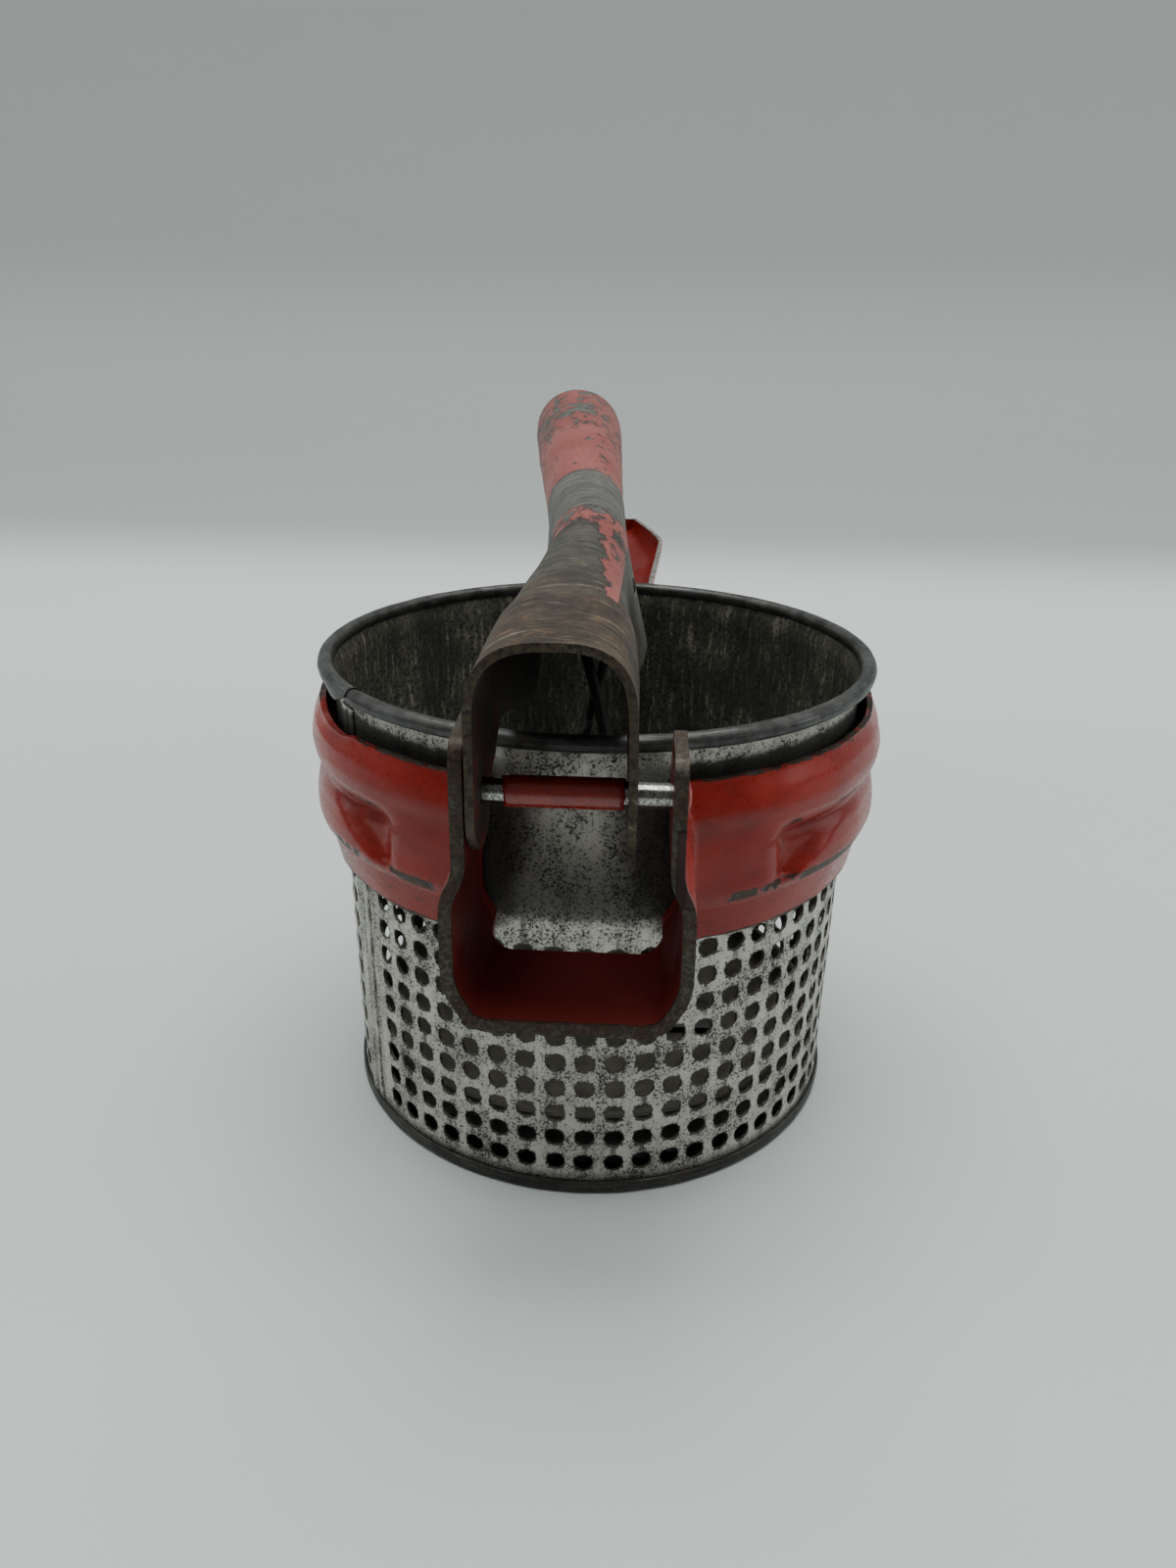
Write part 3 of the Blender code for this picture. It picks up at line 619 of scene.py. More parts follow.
def tin_inner():
    """The inside of the basket: dull olive grey, mottled, with pale vertical streaks, its colours kept
    dark as painted shade inside the basket and near black low down.
    """
    p = Paint("tin_plate_inner")
    streak = p.noise(0.9, p.around(1.0, 0.12), detail=6.0, rough=0.7)
    mottle = p.noise(0.8, detail=5.0, rough=0.75)
    patch = p.noise(13.0, p.around(1.0, 0.5), detail=4.0)
    worn = p.step(patch, 0.42, 0.62)
    # painted shade: the base colours are kept dark to stand for the shade inside the basket
    base = p.mix(worn, (0.040, 0.040, 0.029), (0.098, 0.095, 0.072))
    base = p.mix(p.both(p.step(streak, 0.50, 0.66), p.blend(worn, 0.35, 0.95)), base,
                 (0.400, 0.385, 0.290))
    base = p.layers(base,
                    (mottle, 0.50, 0.57, 0.85, (0.014, 0.014, 0.010)),
                    (p.noise(2.2, detail=6.0, rough=0.75), 0.62, 0.70, 0.85, (0.010, 0.009, 0.007)),
                    (p.noise(3.4, detail=6.0, rough=0.7), 0.66, 0.74, 0.7, (0.200, 0.130, 0.062)),
                    # painted shade: near black low down inside the basket
                    (p.z, 48.0, 34.0, 0.93, (0.012, 0.010, 0.005)))
    normal = p.bump(mottle, 0.05, 0.6)
    return p.finish(base, p.step(mottle, 0.3, 0.7, 0.55, 0.75), 0.15, normal)


def tin_edge():
    """The punched edges of the holes and the sheet's cut edges: dark bare steel, darkened further as
    painted shade in the holes.
    """
    p = Paint("tin_cut_edge")
    grain = p.noise(0.5, detail=3.0)
    # dark cut steel, darkened further as painted shade in the holes
    color = p.mix(p.step(grain, 0.40, 0.62), (0.020, 0.018, 0.013), (0.085, 0.076, 0.056))
    return p.finish(color, 0.55, 0.4, p.bump(grain, 0.03, 0.4))


def dark_tin(name, light, brown):
    """Oxidised tin of the rim and the foot band, scratched round its length."""
    p = Paint(name)
    scratch = p.noise(0.17, p.around(0.022, 1.0, 1.0), detail=6.0, rough=0.7)
    cloud = p.noise(4.0, detail=6.0, rough=0.7)
    speck = p.noise(0.5, detail=4.0, rough=0.75)
    base = p.mix(p.step(cloud, 0.36, 0.64), (0.024, 0.024, 0.022), light)
    base = p.layers(base,
                    (scratch, 0.56, 0.66, 0.70, (0.180, 0.180, 0.170)),
                    (scratch, 0.46, 0.34, 0.85, (0.012, 0.012, 0.011)),
                    (speck, 0.58, 0.64, 0.85, (0.014, 0.012, 0.010)),
                    (p.noise(3.0, detail=6.0, rough=0.7), 0.56, 0.66, brown, (0.085, 0.058, 0.036)))
    normal = p.bump(scratch, 0.06, 0.8)
    return p.finish(base, p.step(scratch, 0.3, 0.7, 0.50, 0.34), 0.55, normal)


def bare_steel_color(p, grain):
    """Rusty brown-grey steel where the enamel has gone."""
    cloud = p.noise(3.5, detail=6.0, rough=0.65)
    color = p.mix(p.step(cloud, 0.38, 0.62), RUST_BROWN, RUST_GREY)
    return p.mix(p.step(grain, 0.42, 0.62, 0.75, 0.0), color, RUST_DARK)


def chipped(p, bare, red, chip, normal, rough=0.30):
    """Enamel where chip is low and bare metal where it is high, with a dark line between."""
    line = p.near(chip, 0.42, 0.22, 0.14)
    color = p.mix(p.step(chip, 0.46, 0.54), red, bare)
    color = p.mix(p.both(line, 0.9), color, (0.014, 0.007, 0.006))
    step = p.bump(p.step(chip, 0.40, 0.60, 1.0, 0.0), 0.10, 0.9, normal)
    grain = p.noise(0.8, detail=5.0)
    roughness = p.blend(p.step(chip, 0.45, 0.55), p.step(grain, 0.3, 0.7, rough - 0.05,
                                                         rough + 0.10), 0.58)
    metallic = p.step(chip, 0.45, 0.55, 0.0, 0.35)
    return color, roughness, metallic, step


def red_tone(p):
    """The frame's red, cloudy, with deeper and burnt patches."""
    cloud = p.noise(16.0, detail=3.0)
    red = p.mix(p.step(cloud, 0.38, 0.62), RED, (0.270, 0.018, 0.011))
    red = p.mix(p.step(p.noise(5.0, p.stretch(1.0, 1.0, 1.6), detail=6.0), 0.50, 0.68, 0.0, 0.45),
                red, RED_DEEP)
    burnt = p.step(p.noise(2.4, detail=6.0, rough=0.7), 0.60, 0.74, 0.0, 0.5)
    return p.mix(burnt, red, (0.090, 0.006, 0.004))


def frame_red():
    """Red enamel of the collar and yoke: rusty cut edges, worn ribs and a few chips, and painted shade
    darkening the red inside the yoke's trough.
    """
    p = Paint("red_enamel_frame")
    wander = p.noise(2.2, detail=6.0, rough=0.65)
    fray = p.less(wander, 0.5)
    on_band = p.step(p.y, -52.0, -50.0)
    front = p.step(p.moved(p.y, fray, 1.2), -71.75, -71.25, 1.0, 0.0)
    on_right_ear = p.both(p.near(p.z, 74.5, 4.5, 1.5), p.step(p.x, 13.0, 13.5))
    front = p.both(front, p.blend(on_right_ear, 1.0, 0.30))
    top = p.step(p.moved(p.z, fray, 1.5), COLLAR_TOP - 0.55, COLLAR_TOP - 0.25)
    nicks = p.step(p.noise(5.0, detail=4.0, rough=0.6), 0.58, 0.64)
    nicks = p.both(nicks, p.step(p.moved(p.z, fray, 3.0), 73.7, 74.3))
    top = p.both(p.most(top, nicks), on_band)
    ear_top = p.step(p.moved(p.z, fray, 4.0), 86.4, 87.4)
    bottom = p.step(p.math("ADD", p.z, fray), COLLAR_BOTTOM + 0.40, COLLAR_BOTTOM + 0.10)
    bottom = p.both(bottom, on_band)
    off = p.absolute(p.azimuth())
    patchy = p.step(p.noise(8.0, detail=3.0), 0.39, 0.47)
    rib_low = p.near(p.moved(p.z, fray, 1.2), 55.9, 0.70, 0.35)
    rib_low = p.both(rib_low, p.step(off, 26.0, 29.0), p.step(p.azimuth(), -60.0, -50.0, 0.0, 1.0),
                     patchy)
    rib_top = p.near(p.moved(p.z, fray, 1.2), 65.7, 0.22, 0.3)
    rib_top = p.both(rib_top, p.step(off, 36.0, 43.0), p.step(p.noise(5.0, detail=4.0), 0.50, 0.55))
    crack = p.near(p.moved(p.z, fray, 2.6), 51.6, 0.0, 0.16)
    crack = p.both(crack, p.step(p.noise(9.0, detail=2.0), 0.50, 0.56), on_band)
    flecks = p.step(p.noise(1.9, detail=4.0, rough=0.6), 0.735, 0.76)
    chip = p.most(front, top, ear_top, bottom, rib_low, rib_top, p.both(crack, 0.5), flecks)
    grain = p.noise(0.7, detail=5.0, rough=0.7)
    bare = bare_steel_color(p, grain)
    red = red_tone(p)
    in_trough = p.both(p.step(p.y, -46.5, -48.5), p.step(p.z, 80.0, 72.0),
                       p.step(p.absolute(p.x), 14.9, 14.3))
    # painted shade: the red darkened inside the yoke's trough
    red = p.mix(p.both(in_trough, 0.8), red, (0.085, 0.004, 0.003))
    normal = p.bump(p.noise(6.0, detail=3.0), 0.22, 0.6)
    normal = p.bump(grain, 0.012, 0.25, normal)
    color, roughness, metallic, normal = chipped(p, bare, red, chip, normal, rough=0.29)
    roughness = p.blend(in_trough, roughness, 0.7)
    return p.finish(color, roughness, metallic, normal, Coat_Weight=0.07, Coat_Roughness=0.15,
                    Specular_IOR_Level=0.26)


def handle_red():
    """Red enamel of the lower handle, worn pale along its lips, its red painted deeper throughout as
    shade.
    """
    p = Paint("red_enamel_handle")
    wander = p.noise(1.8, detail=6.0, rough=0.65)
    fray = p.less(wander, 0.5)
    lip_height = p.step(p.y, 168.0, 205.0, 65.6, 68.0)
    over = p.less(p.moved(p.z, fray, 1.6), lip_height)
    lip = p.both(p.step(over, 0.0, 0.25), p.step(p.y, 58.0, 64.0))
    flecks = p.step(p.noise(2.1, detail=5.0, rough=0.7), 0.69, 0.71)
    chip = p.most(lip, flecks)
    grain = p.noise(0.7, detail=5.0, rough=0.7)
    bare = p.mix(p.step(wander, 0.40, 0.62), (0.10, 0.085, 0.075), (0.30, 0.27, 0.25))
    normal = p.bump(grain, 0.02, 0.35)
    # painted shade: the handle's red mixed towards deep red, as the seen end lies in shade
    red = p.mix(0.45, red_tone(p), RED_DEEP)
    color, roughness, metallic, normal = chipped(p, bare, red, chip, normal)
    return p.finish(color, roughness, metallic, normal, Coat_Weight=0.08, Coat_Roughness=0.2,
                    Specular_IOR_Level=0.3)


def lever_paint():
    """The lever: faded red on the grip with grey worn bands, bare rusty steel towards the hinge."""
    p = Paint("worn_lever")
    scratch = p.noise(1.7, p.stretch(0.14, 1.0, 0.14), detail=8.0, rough=0.78, distortion=0.9)
    fine = p.noise(0.30, p.stretch(0.12, 1.0, 0.12), detail=4.0, rough=0.7)
    wander = p.noise(6.0, p.stretch(1.0, 0.6, 1.0), detail=8.0, rough=0.68)
    small = p.noise(3.4, p.stretch(1.0, 0.42, 1.0), detail=6.0, rough=0.58, distortion=0.7)
    fray = p.less(wander, 0.5)
    along = p.moved(p.y, fray, 30.0)
    neck = p.step(along, -5.2, -9.6)
    reach = p.both(p.less(-7.0, p.y), 0.085)
    inset = p.less(p.moved(p.x, fray, 8.0), reach)
    tongue = p.both(p.step(inset, -0.2, 0.9), p.step(p.x, 5.0, 4.8), p.step(along, -50.0, -48.0))
    neck = p.both(neck, p.less(1.0, tongue))
    flange = p.both(p.step(p.x, 4.8, 5.2), p.step(p.y, 24.0, 20.0))
    band = p.near(p.moved(p.y, fray, 9.0), 22.5, 16.6, 2.0)
    patch = p.step(p.math("ADD", wander, p.near(p.y, 138.0, 12.0, 14.0)), 1.475, 1.545)
    patch = p.both(patch, p.step(p.x, -8.5, -11.0))
    zone = p.most(p.near(p.y, -4.0, 6.0, 8.0), p.both(p.near(p.y, 150.0, 42.0, 20.0), 0.75))
    flakes = p.step(p.moved(small, zone, 0.13), 0.595, 0.695)
    chip = p.most(neck, flange, band, patch, flakes)
    cloud = p.noise(7.0, detail=6.0, rough=0.65)
    front = p.step(p.moved(p.y, fray, 26.0), -64.0, -30.0)
    on_band = p.step(p.y, -6.0, 2.0)
    steel = p.mix(p.step(cloud, 0.40, 0.60), (0.040, 0.036, 0.026), (0.082, 0.076, 0.058))
    pale = p.mix(p.step(cloud, 0.40, 0.60), (0.105, 0.104, 0.092), (0.150, 0.150, 0.136))
    steel = p.mix(on_band, steel, pale)
    rusty = p.mix(p.step(cloud, 0.38, 0.60), (0.034, 0.020, 0.011), (0.074, 0.050, 0.029))
    bare = p.mix(front, rusty, steel)
    orange = p.both(p.step(p.noise(3.5, detail=6.0, rough=0.7), 0.54, 0.66),
                    p.blend(front, 1.0, 0.35))
    bare = p.mix(p.both(orange, 0.8), bare, (0.150, 0.075, 0.032))
    bare = p.mix(p.step(scratch, 0.46, 0.40, 0.0, 0.95), bare, (0.008, 0.006, 0.004))
    bare = p.mix(p.near(scratch, 0.50, 0.006, 0.012), bare, (0.006, 0.005, 0.004))
    bare = p.layers(bare,
                    (scratch, 0.58, 0.64, 0.80, (0.230, 0.218, 0.185)),
                    (fine, 0.56, 0.70, 0.5, (0.200, 0.190, 0.165)))
    inner_red = p.step(p.noise(3.0, p.stretch(1.0, 0.3, 1.0), detail=5.0), 0.57, 0.63, 0.0, 0.8)
    leg = p.both(p.step(p.z, 93.0, 89.0), p.step(p.y, -50.0, -58.0))
    bare = p.mix(p.both(inner_red, leg), bare, (0.120, 0.012, 0.008))
    faded = p.mix(p.step(p.noise(20.0, detail=3.0), 0.40, 0.60), RED_FADED, (0.225, 0.040, 0.033))
    bruise = p.step(p.noise(3.4, p.stretch(1.0, 0.4, 1.0), detail=7.0, rough=0.7), 0.50, 0.60)
    faded = p.mix(p.both(bruise, p.both(zone, 0.7)), faded, (0.150, 0.018, 0.014))
    hair = p.both(p.near(small, 0.46, 0.004, 0.014), zone, p.step(cloud, 0.46, 0.54, 0.0, 0.95))
    faded = p.mix(hair, faded, (0.020, 0.008, 0.006))
    normal = p.bump(scratch, 0.12, 0.7, p.bump(fine, 0.04, 0.5))
    color, roughness, metallic, normal = chipped(p, bare, faded, chip, normal, rough=0.42)
    return p.finish(color, roughness, metallic, normal, Coat_Weight=0.05, Coat_Roughness=0.3,
                    Specular_IOR_Level=0.35)


def lever_inner():
    """The lever's underside: dark, with what is left of the red."""
    p = Paint("lever_underside")
    cloud = p.noise(5.0, detail=6.0, rough=0.65)
    grain = p.noise(0.8, detail=5.0, rough=0.7)
    on_leg = p.both(p.step(p.z, 96.0, 90.0), p.step(p.y, -48.0, -56.0))
    red = p.both(p.step(cloud, 0.50, 0.60), p.blend(on_leg, 0.25, 0.9))
    color = p.mix(p.step(grain, 0.40, 0.62), (0.022, 0.017, 0.013), (0.075, 0.052, 0.036))
    color = p.mix(red, color, (0.140, 0.016, 0.010))
    return p.finish(color, 0.6, 0.2, p.bump(grain, 0.05, 0.6))


def rusty_edge():
    """A cut edge of thick sheet: dull brown with rubbed grey spots."""
    p = Paint("rusty_cut_edge")
    grain = p.noise(0.9, detail=6.0, rough=0.7)
    color = p.mix(p.step(grain, 0.38, 0.56), (0.012, 0.009, 0.006), (0.058, 0.040, 0.022))
    color = p.mix(p.step(p.noise(2.0, detail=6.0, rough=0.7), 0.56, 0.68, 0.0, 0.8), color,
                  (0.150, 0.132, 0.100))
    return p.finish(color, 0.52, 0.4, p.bump(grain, 0.08, 0.8))


def bright_steel():
    """The bare pin: bright, with rings of wear round it."""
    p = Paint("bright_steel")
    rings = p.noise(0.28, p.stretch(1.0, 0.6, 0.6), detail=5.0, rough=0.6)
    color = p.mix(p.step(rings, 0.38, 0.62), (0.16, 0.16, 0.15), (0.42, 0.42, 0.40))
    color = p.mix(p.step(p.noise(1.6, detail=5.0), 0.60, 0.70, 0.0, 0.7), color, (0.09, 0.07, 0.05))
    return p.finish(color, p.step(rings, 0.3, 0.7, 0.30, 0.18), 1.0, p.bump(rings, 0.03, 0.5))


def sleeve_red():
    """The sleeve: fresh, glossy red with a scuff or two."""
    p = Paint("red_enamel_sleeve")
    chip = p.step(p.noise(1.6, detail=5.0, rough=0.7), 0.68, 0.71)
    bare = bare_steel_color(p, p.noise(0.7, detail=5.0))
    normal = p.bump(p.noise(2.5), 0.03, 0.4)
    color, roughness, metallic, normal = chipped(p, bare, red_tone(p), chip, normal, rough=0.24)
    return p.finish(color, roughness, metallic, normal, Coat_Weight=0.4, Coat_Roughness=0.1)


def plunger_tin():
    """The plunger's plate, straps and rivets: dull grey tinned steel with stains, painted near black as
    shade deep inside the basket.
    """
    p = Paint("plunger_tin")
    cloud = p.noise(6.0, detail=6.0, rough=0.65)
    speck = p.noise(0.7, detail=5.0, rough=0.7)
    # painted shade: the plate's tin painted near black, as it lies deep in the basket
    color = p.mix(p.step(cloud, 0.38, 0.62), (0.014, 0.012, 0.007), (0.038, 0.034, 0.021))
    color = p.mix(p.step(speck, 0.54, 0.62, 0.0, 0.8), color, (0.012, 0.011, 0.008))
    return p.finish(color, p.step(cloud, 0.3, 0.7, 0.55, 0.70), 0.2, p.bump(speck, 0.04, 0.5))


def strap_dark():
    """The plunger straps, almost black."""
    p = Paint("plunger_strap")
    speck = p.noise(0.8, detail=5.0, rough=0.7)
    color = p.mix(p.step(speck, 0.45, 0.65), (0.007, 0.007, 0.006), (0.030, 0.028, 0.023))
    return p.finish(color, 0.55, 0.3, p.bump(speck, 0.04, 0.5))


def backdrop():
    """Plain pale studio paper, lying flat and then rising behind, with painted light and shade: paler on
    the floor behind, darker up the rise.
    """
    p = Paint("pale_paper")
    color = p.mix(p.noise(60.0, detail=3.0), (0.556, 0.606, 0.596), (0.576, 0.626, 0.616))
    behind = p.both(p.step(p.y, 110.0, 280.0), p.step(p.z, 60.0, 20.0))
    # painted light: the floor painted paler behind the object, towards the rise
    color = p.mix(behind, color, (0.622, 0.672, 0.666))
    # painted shade: the rising paper painted darker, a little paler part way up
    color = p.layers(color,
                     (p.z, 1.0, 26.0, 1.0, (0.330, 0.362, 0.352)),
                     (p.z, 50.0, 110.0, 1.0, (0.372, 0.404, 0.395)),
                     (p.z, 140.0, 300.0, 1.0, (0.322, 0.350, 0.344)))
    return p.finish(color, 0.85, 0.0, p.bump(p.noise(1.2, detail=3.0), 0.03, 0.15))


# ------------------------------------------------------------------ basket

def wall_radius(z):
    return BASE_R + WALL_SLOPE * z


def wall_point(turn, z, push=0.0):
    """A point on the wall's outer face at an azimuth in radians. The wall is a little fluted."""
    phase = HOLE_COLUMNS * (turn - math.radians(FIRST_COLUMN))
    flute = FLUTE_DEPTH * math.cos(phase) * (1 - smoothstep(49.0, 56.0, z)) * smoothstep(1.5, 5.0, z)
    x, y, _ = ring_point(BASE_R, turn, z)
    uneven = WALL_UNEVEN * lumps(x, y, z, 15.0, 3.0) * smoothstep(0.0, 6.0, z)
    flare = WALL_FLARE * smoothstep(78.0, 80.6, z) ** 1.5
    return ring_point(wall_radius(z) + flute + uneven + flare + push, turn, z)


def plain_column(column):
    """True for the two columns of cells that the lock seam takes."""
    azimuth = FIRST_COLUMN + 360.0 * column / HOLE_COLUMNS
    off = (azimuth - SEAM_AZIMUTH + 180.0) % 360.0 - 180.0
    return abs(off) < 360.0 / HOLE_COLUMNS * 0.75


def basket_wall(mats):
    """The pierced wall. Each hole sits in a square cell, ringed by faces out to the cell's sides."""
    bm = bmesh.new()
    cuts = HOLE_COLUMNS * CELL_CUTS
    corners = {}
    pierced = bm.verts.layers.float.new("pierced")
    low_z = FIRST_ROW_Z - ROW_PITCH / 2
    step = ROW_PITCH / CELL_CUTS

    def grid_turn(i):
        share = (i / CELL_CUTS - 0.5) / HOLE_COLUMNS
        return math.radians(FIRST_COLUMN) + math.tau * share

    def grid_vert(i, z):
        key = (i % cuts, round(z, 4))
        if key not in corners:
            corners[key] = bm.verts.new(Vector(wall_point(grid_turn(i), z)) * MM)
        return corners[key]

    def quad(i, bottom, top):
        bm.faces.new((grid_vert(i, bottom), grid_vert(i + 1, bottom), grid_vert(i + 1, top),
                      grid_vert(i, top)))

    def plain_rows(heights):
        for z0, z1 in zip(heights, heights[1:]):
            for i in range(cuts):
                quad(i, z0, z1)

    def cell_sides(column, row):
        """The cell's outline as (mesh column, height), anticlockwise from its lower left."""
        i0 = column * CELL_CUTS
        z0 = low_z + row * ROW_PITCH
        sides = [(i0 + k, z0) for k in range(CELL_CUTS)]
        sides += [(i0 + CELL_CUTS, z0 + k * step) for k in range(CELL_CUTS)]
        sides += [(i0 + CELL_CUTS - k, z0 + ROW_PITCH) for k in range(CELL_CUTS)]
        sides += [(i0, z0 + ROW_PITCH - k * step) for k in range(CELL_CUTS)]
        return sides

    def pierced_cell(column, row):
        middle = grid_turn(column * CELL_CUTS + CELL_CUTS / 2)
        centre_z = FIRST_ROW_Z + row * ROW_PITCH
        seed = column * 1.7 + row * 3.1
        middle += 0.22 / BASE_R * noise.noise(Vector((seed, 0.5, 2.0)))
        centre_z += 0.16 * noise.noise(Vector((seed, 7.5, 1.0)))
        radius = HOLE_R * (1 + 0.04 * noise.noise(Vector((seed, 3.5, 9.0))))
        outer = []
        hole = []
        for i, z in cell_sides(column, row):
            across = (grid_turn(i) - middle) * BASE_R
            angle = math.atan2(z - centre_z, across)
            outer.append(grid_vert(i, z))
            hole.append(bm.verts.new(Vector(wall_point(
                middle + radius * math.cos(angle) / BASE_R,
                centre_z + radius * math.sin(angle), -0.07)) * MM))
            hole[-1][pierced] = 1.0
        count = len(outer)
        for k in range(count):
            j = (k + 1) % count
            bm.faces.new((outer[k], outer[j], hole[j], hole[k]))

    def plain_cell(column, row):
        z0 = low_z + row * ROW_PITCH
        for a in range(CELL_CUTS):
            for b in range(CELL_CUTS):
                quad(column * CELL_CUTS + a, z0 + b * step, z0 + (b + 1) * step)

    plain_rows([WALL_BOTTOM, (WALL_BOTTOM + low_z) / 2, low_z])
    for column in range(HOLE_COLUMNS):
        for row in range(HOLE_ROWS):
            (plain_cell if plain_column(column) else pierced_cell)(column, row)
    high_z = low_z + HOLE_ROWS * ROW_PITCH
    rows = 14
    plain_rows([high_z + (WALL_TOP - high_z) * k / rows for k in range(rows + 1)])
    wall = new_object("basket_wall_pierced", bm, *mats)
    face_outward(wall, (0, 0, 30))
    thicken(wall, WALL_T, inner_slot=1, edge_slot=2)
    smooth(wall, 40)
    return wall


def basket_floor(mats):
    """The pierced bottom pan: a flat disc with rings of holes, and its upturned flange."""
    rim_r = BASE_R - 0.8
    curve = bpy.data.curves.new("floor_disc", "CURVE")
    curve.dimensions = "2D"
    curve.fill_mode = "BOTH"
    curve.extrude = 0.3 * MM

    def add_circle(cx, cy, radius, points):
        spline = curve.splines.new("POLY")
        spline.points.add(points - 1)
        for k in range(points):
            a = math.tau * k / points
            spline.points[k].co = ((cx + radius * math.cos(a)) * MM, (cy + radius * math.sin(a)) * MM,
                                   0.0, 1.0)
        spline.use_cyclic_u = True

    add_circle(0, 0, rim_r - 0.9, 160)
    for ring in range(1, FLOOR_RINGS + 1):
        radius = FLOOR_RING_STEP * ring
        count = 6 * ring
        for k in range(count):
            a = math.tau * k / count
            add_circle(radius * math.sin(a), radius * math.cos(a), HOLE_R, 16)
    disc = bpy.data.objects.new("basket_floor_disc", curve)
    bpy.context.scene.collection.objects.link(disc)
    bpy.context.view_layer.update()
    mesh = bpy.data.meshes.new_from_object(disc.evaluated_get(
        bpy.context.evaluated_depsgraph_get()))
    bpy.data.objects.remove(disc, do_unlink=True)
    mesh.materials.clear()
    bm = bmesh.new()
    bm.from_mesh(mesh)
    bmesh.ops.remove_doubles(bm, verts=bm.verts, dist=0.000002)
    bm.transform(Matrix.Translation((0, 0, 0.32 * MM)))
    floor = new_object("basket_floor_pierced", bm, *mats)
    outline = rounded_outline([(rim_r - 1.2, 0.62), (rim_r - 0.9, 0.62), (rim_r - 0.5, 1.0),
                               (rim_r - 0.5, 2.6), (rim_r, 2.6), (rim_r, 0.6), (rim_r - 0.7, 0.02),
                               (rim_r - 1.2, 0.02)], 0.25, 2)
    flange = lathe("basket_floor_flange", outline, mats, 160, closed=True)
    smooth(floor, 40)
    return [floor, flange]


def side_seam(mats):
    """The flat lock seam: a folded strip with a crease down its middle."""
    half = SEAM_WIDTH / 2 / BASE_R
    middle = math.radians(SEAM_AZIMUTH)
    heights = [BAND_TOP + 0.3 + (SEAM_TOP - BAND_TOP) * k / 60 for k in range(61)]
    across = [(-1.0, 0.05), (-0.97, 0.30), (-0.90, 0.42), (-0.30, 0.44), (-0.12, 0.40),
              (-0.06, 0.26), (0.02, 0.26), (0.10, 0.34), (0.85, 0.33), (0.96, 0.22), (1.0, 0.05)]
    rows = []
    for z in heights:
        lift = 0.05 * lumps(0, 0, z, 9.0, 4.0)
        row = [wall_point(middle + s * half, z, h + lift * (h > 0.1)) for s, h in across]
        row += [wall_point(middle + s * half, z, 0.02) for s, _ in across[::-1]]
        rows.append(row)
    seam = tube_grid("lock_seam", rows, mats)
    smooth(seam, 30)
    return seam


def foot_band(mats):
    """The crimped band round the foot, a little uneven along its top edge."""
    inner = wall_radius(BAND_TOP) + 0.12
    outline = rounded_outline([(inner, BAND_TOP), (inner + 0.40, BAND_TOP), (inner + 0.50, 1.5),
                               (inner + 0.52, 0.4), (inner - 0.1, 0.0), (BASE_R - 0.35, 0.0),
                               (BASE_R - 0.35, 0.35), (inner, 0.42)], 0.22, 3)
    steps = 320
    rows = []
    for k in range(steps):
        turn = math.tau * k / steps
        row = []
        for r, z in outline:
            x, y, _ = ring_point(r, turn, z)
            uneven = lumps(x, y, 0, 5.0, 2.0)
            share = z / BAND_TOP
            row.append(ring_point(r + 0.07 * uneven * (r > inner + 0.05), turn, z + 0.16 * uneven * share))
        rows.append(row)
    band = ring_grid("foot_band", rows, mats)
    smooth(band, 40)
    return band


def rolled_rim(mats):
    """The rolled strip round the wire. Its end laps over its start with a pointed, mitred corner."""
    centre_z = RIM_TOP - RIM_BEAD_R
    steps = 420
    parts = 24
    start = math.radians(SEAM_AZIMUTH - 1.5)
    first, last = math.radians(-118), math.radians(222)
    rows = []
    for k in range(steps + 1):
        t = k / steps
        # the last part of the strip rises over its tucked-in start
        lap = smoothstep(0.955, 0.985, t)
        end = smoothstep(0.975, 1.0, t)
        tuck = 1 - smoothstep(0.0, 0.035, t)
        outer = []
        inner = []
        for i in range(parts + 1):
            a = first + (last - first) * i / parts
            hang = smoothstep(0.2, -1.4, a)
            # the mitre: the lap reaches further over the top than at its lower edge
            turn = start + math.tau * t + lap * (0.012 + 0.130 * (1 - hang))
            x, y, _ = ring_point(RIM_R, turn, 0)
            uneven = 0.07 * lumps(x, y, 0, 9.0, 6.0) + 0.05 * lumps(x, y, i * 2.0, 3.0, 8.0)
            radius = RIM_BEAD_R - 0.05 + uneven - RIM_STRIP_T * tuck + 0.12 * lap
            radius += 0.8 * end * hang
            for line, r in ((outer, radius), (inner, radius - RIM_STRIP_T)):
                line.append(ring_point(RIM_R + r * math.cos(a), turn, centre_z + r * math.sin(a)))
        rows.append(outer + inner[::-1])
    rim = tube_grid("rolled_rim", rows, mats)
    smooth(rim, 40)
    return rim


# ------------------------------------------------------------------ frame

COLLAR_PROFILE = [  # (height, radius away from the yoke, radius beside the yoke)
    (COLLAR_BOTTOM, 46.6, 46.6), (51.5, 47.2, 47.2), (54.4, 47.75, 47.8), (55.2, 48.3, 48.3),
    (57.0, 49.0, 49.2), (59.2, 49.3, 49.4), (61.8, 48.9, 49.5), (64.0, 47.9, 49.5),
    (65.2, 48.4, 49.3), (67.0, 49.4, 49.2), (69.2, 49.7, 49.75), (72.0, 49.1, 49.0),
    (COLLAR_TOP, 47.9, 47.9)]
RIB_START = 34.7           # degrees round from the yoke where the second rib begins
RIB_FULL = 39.5


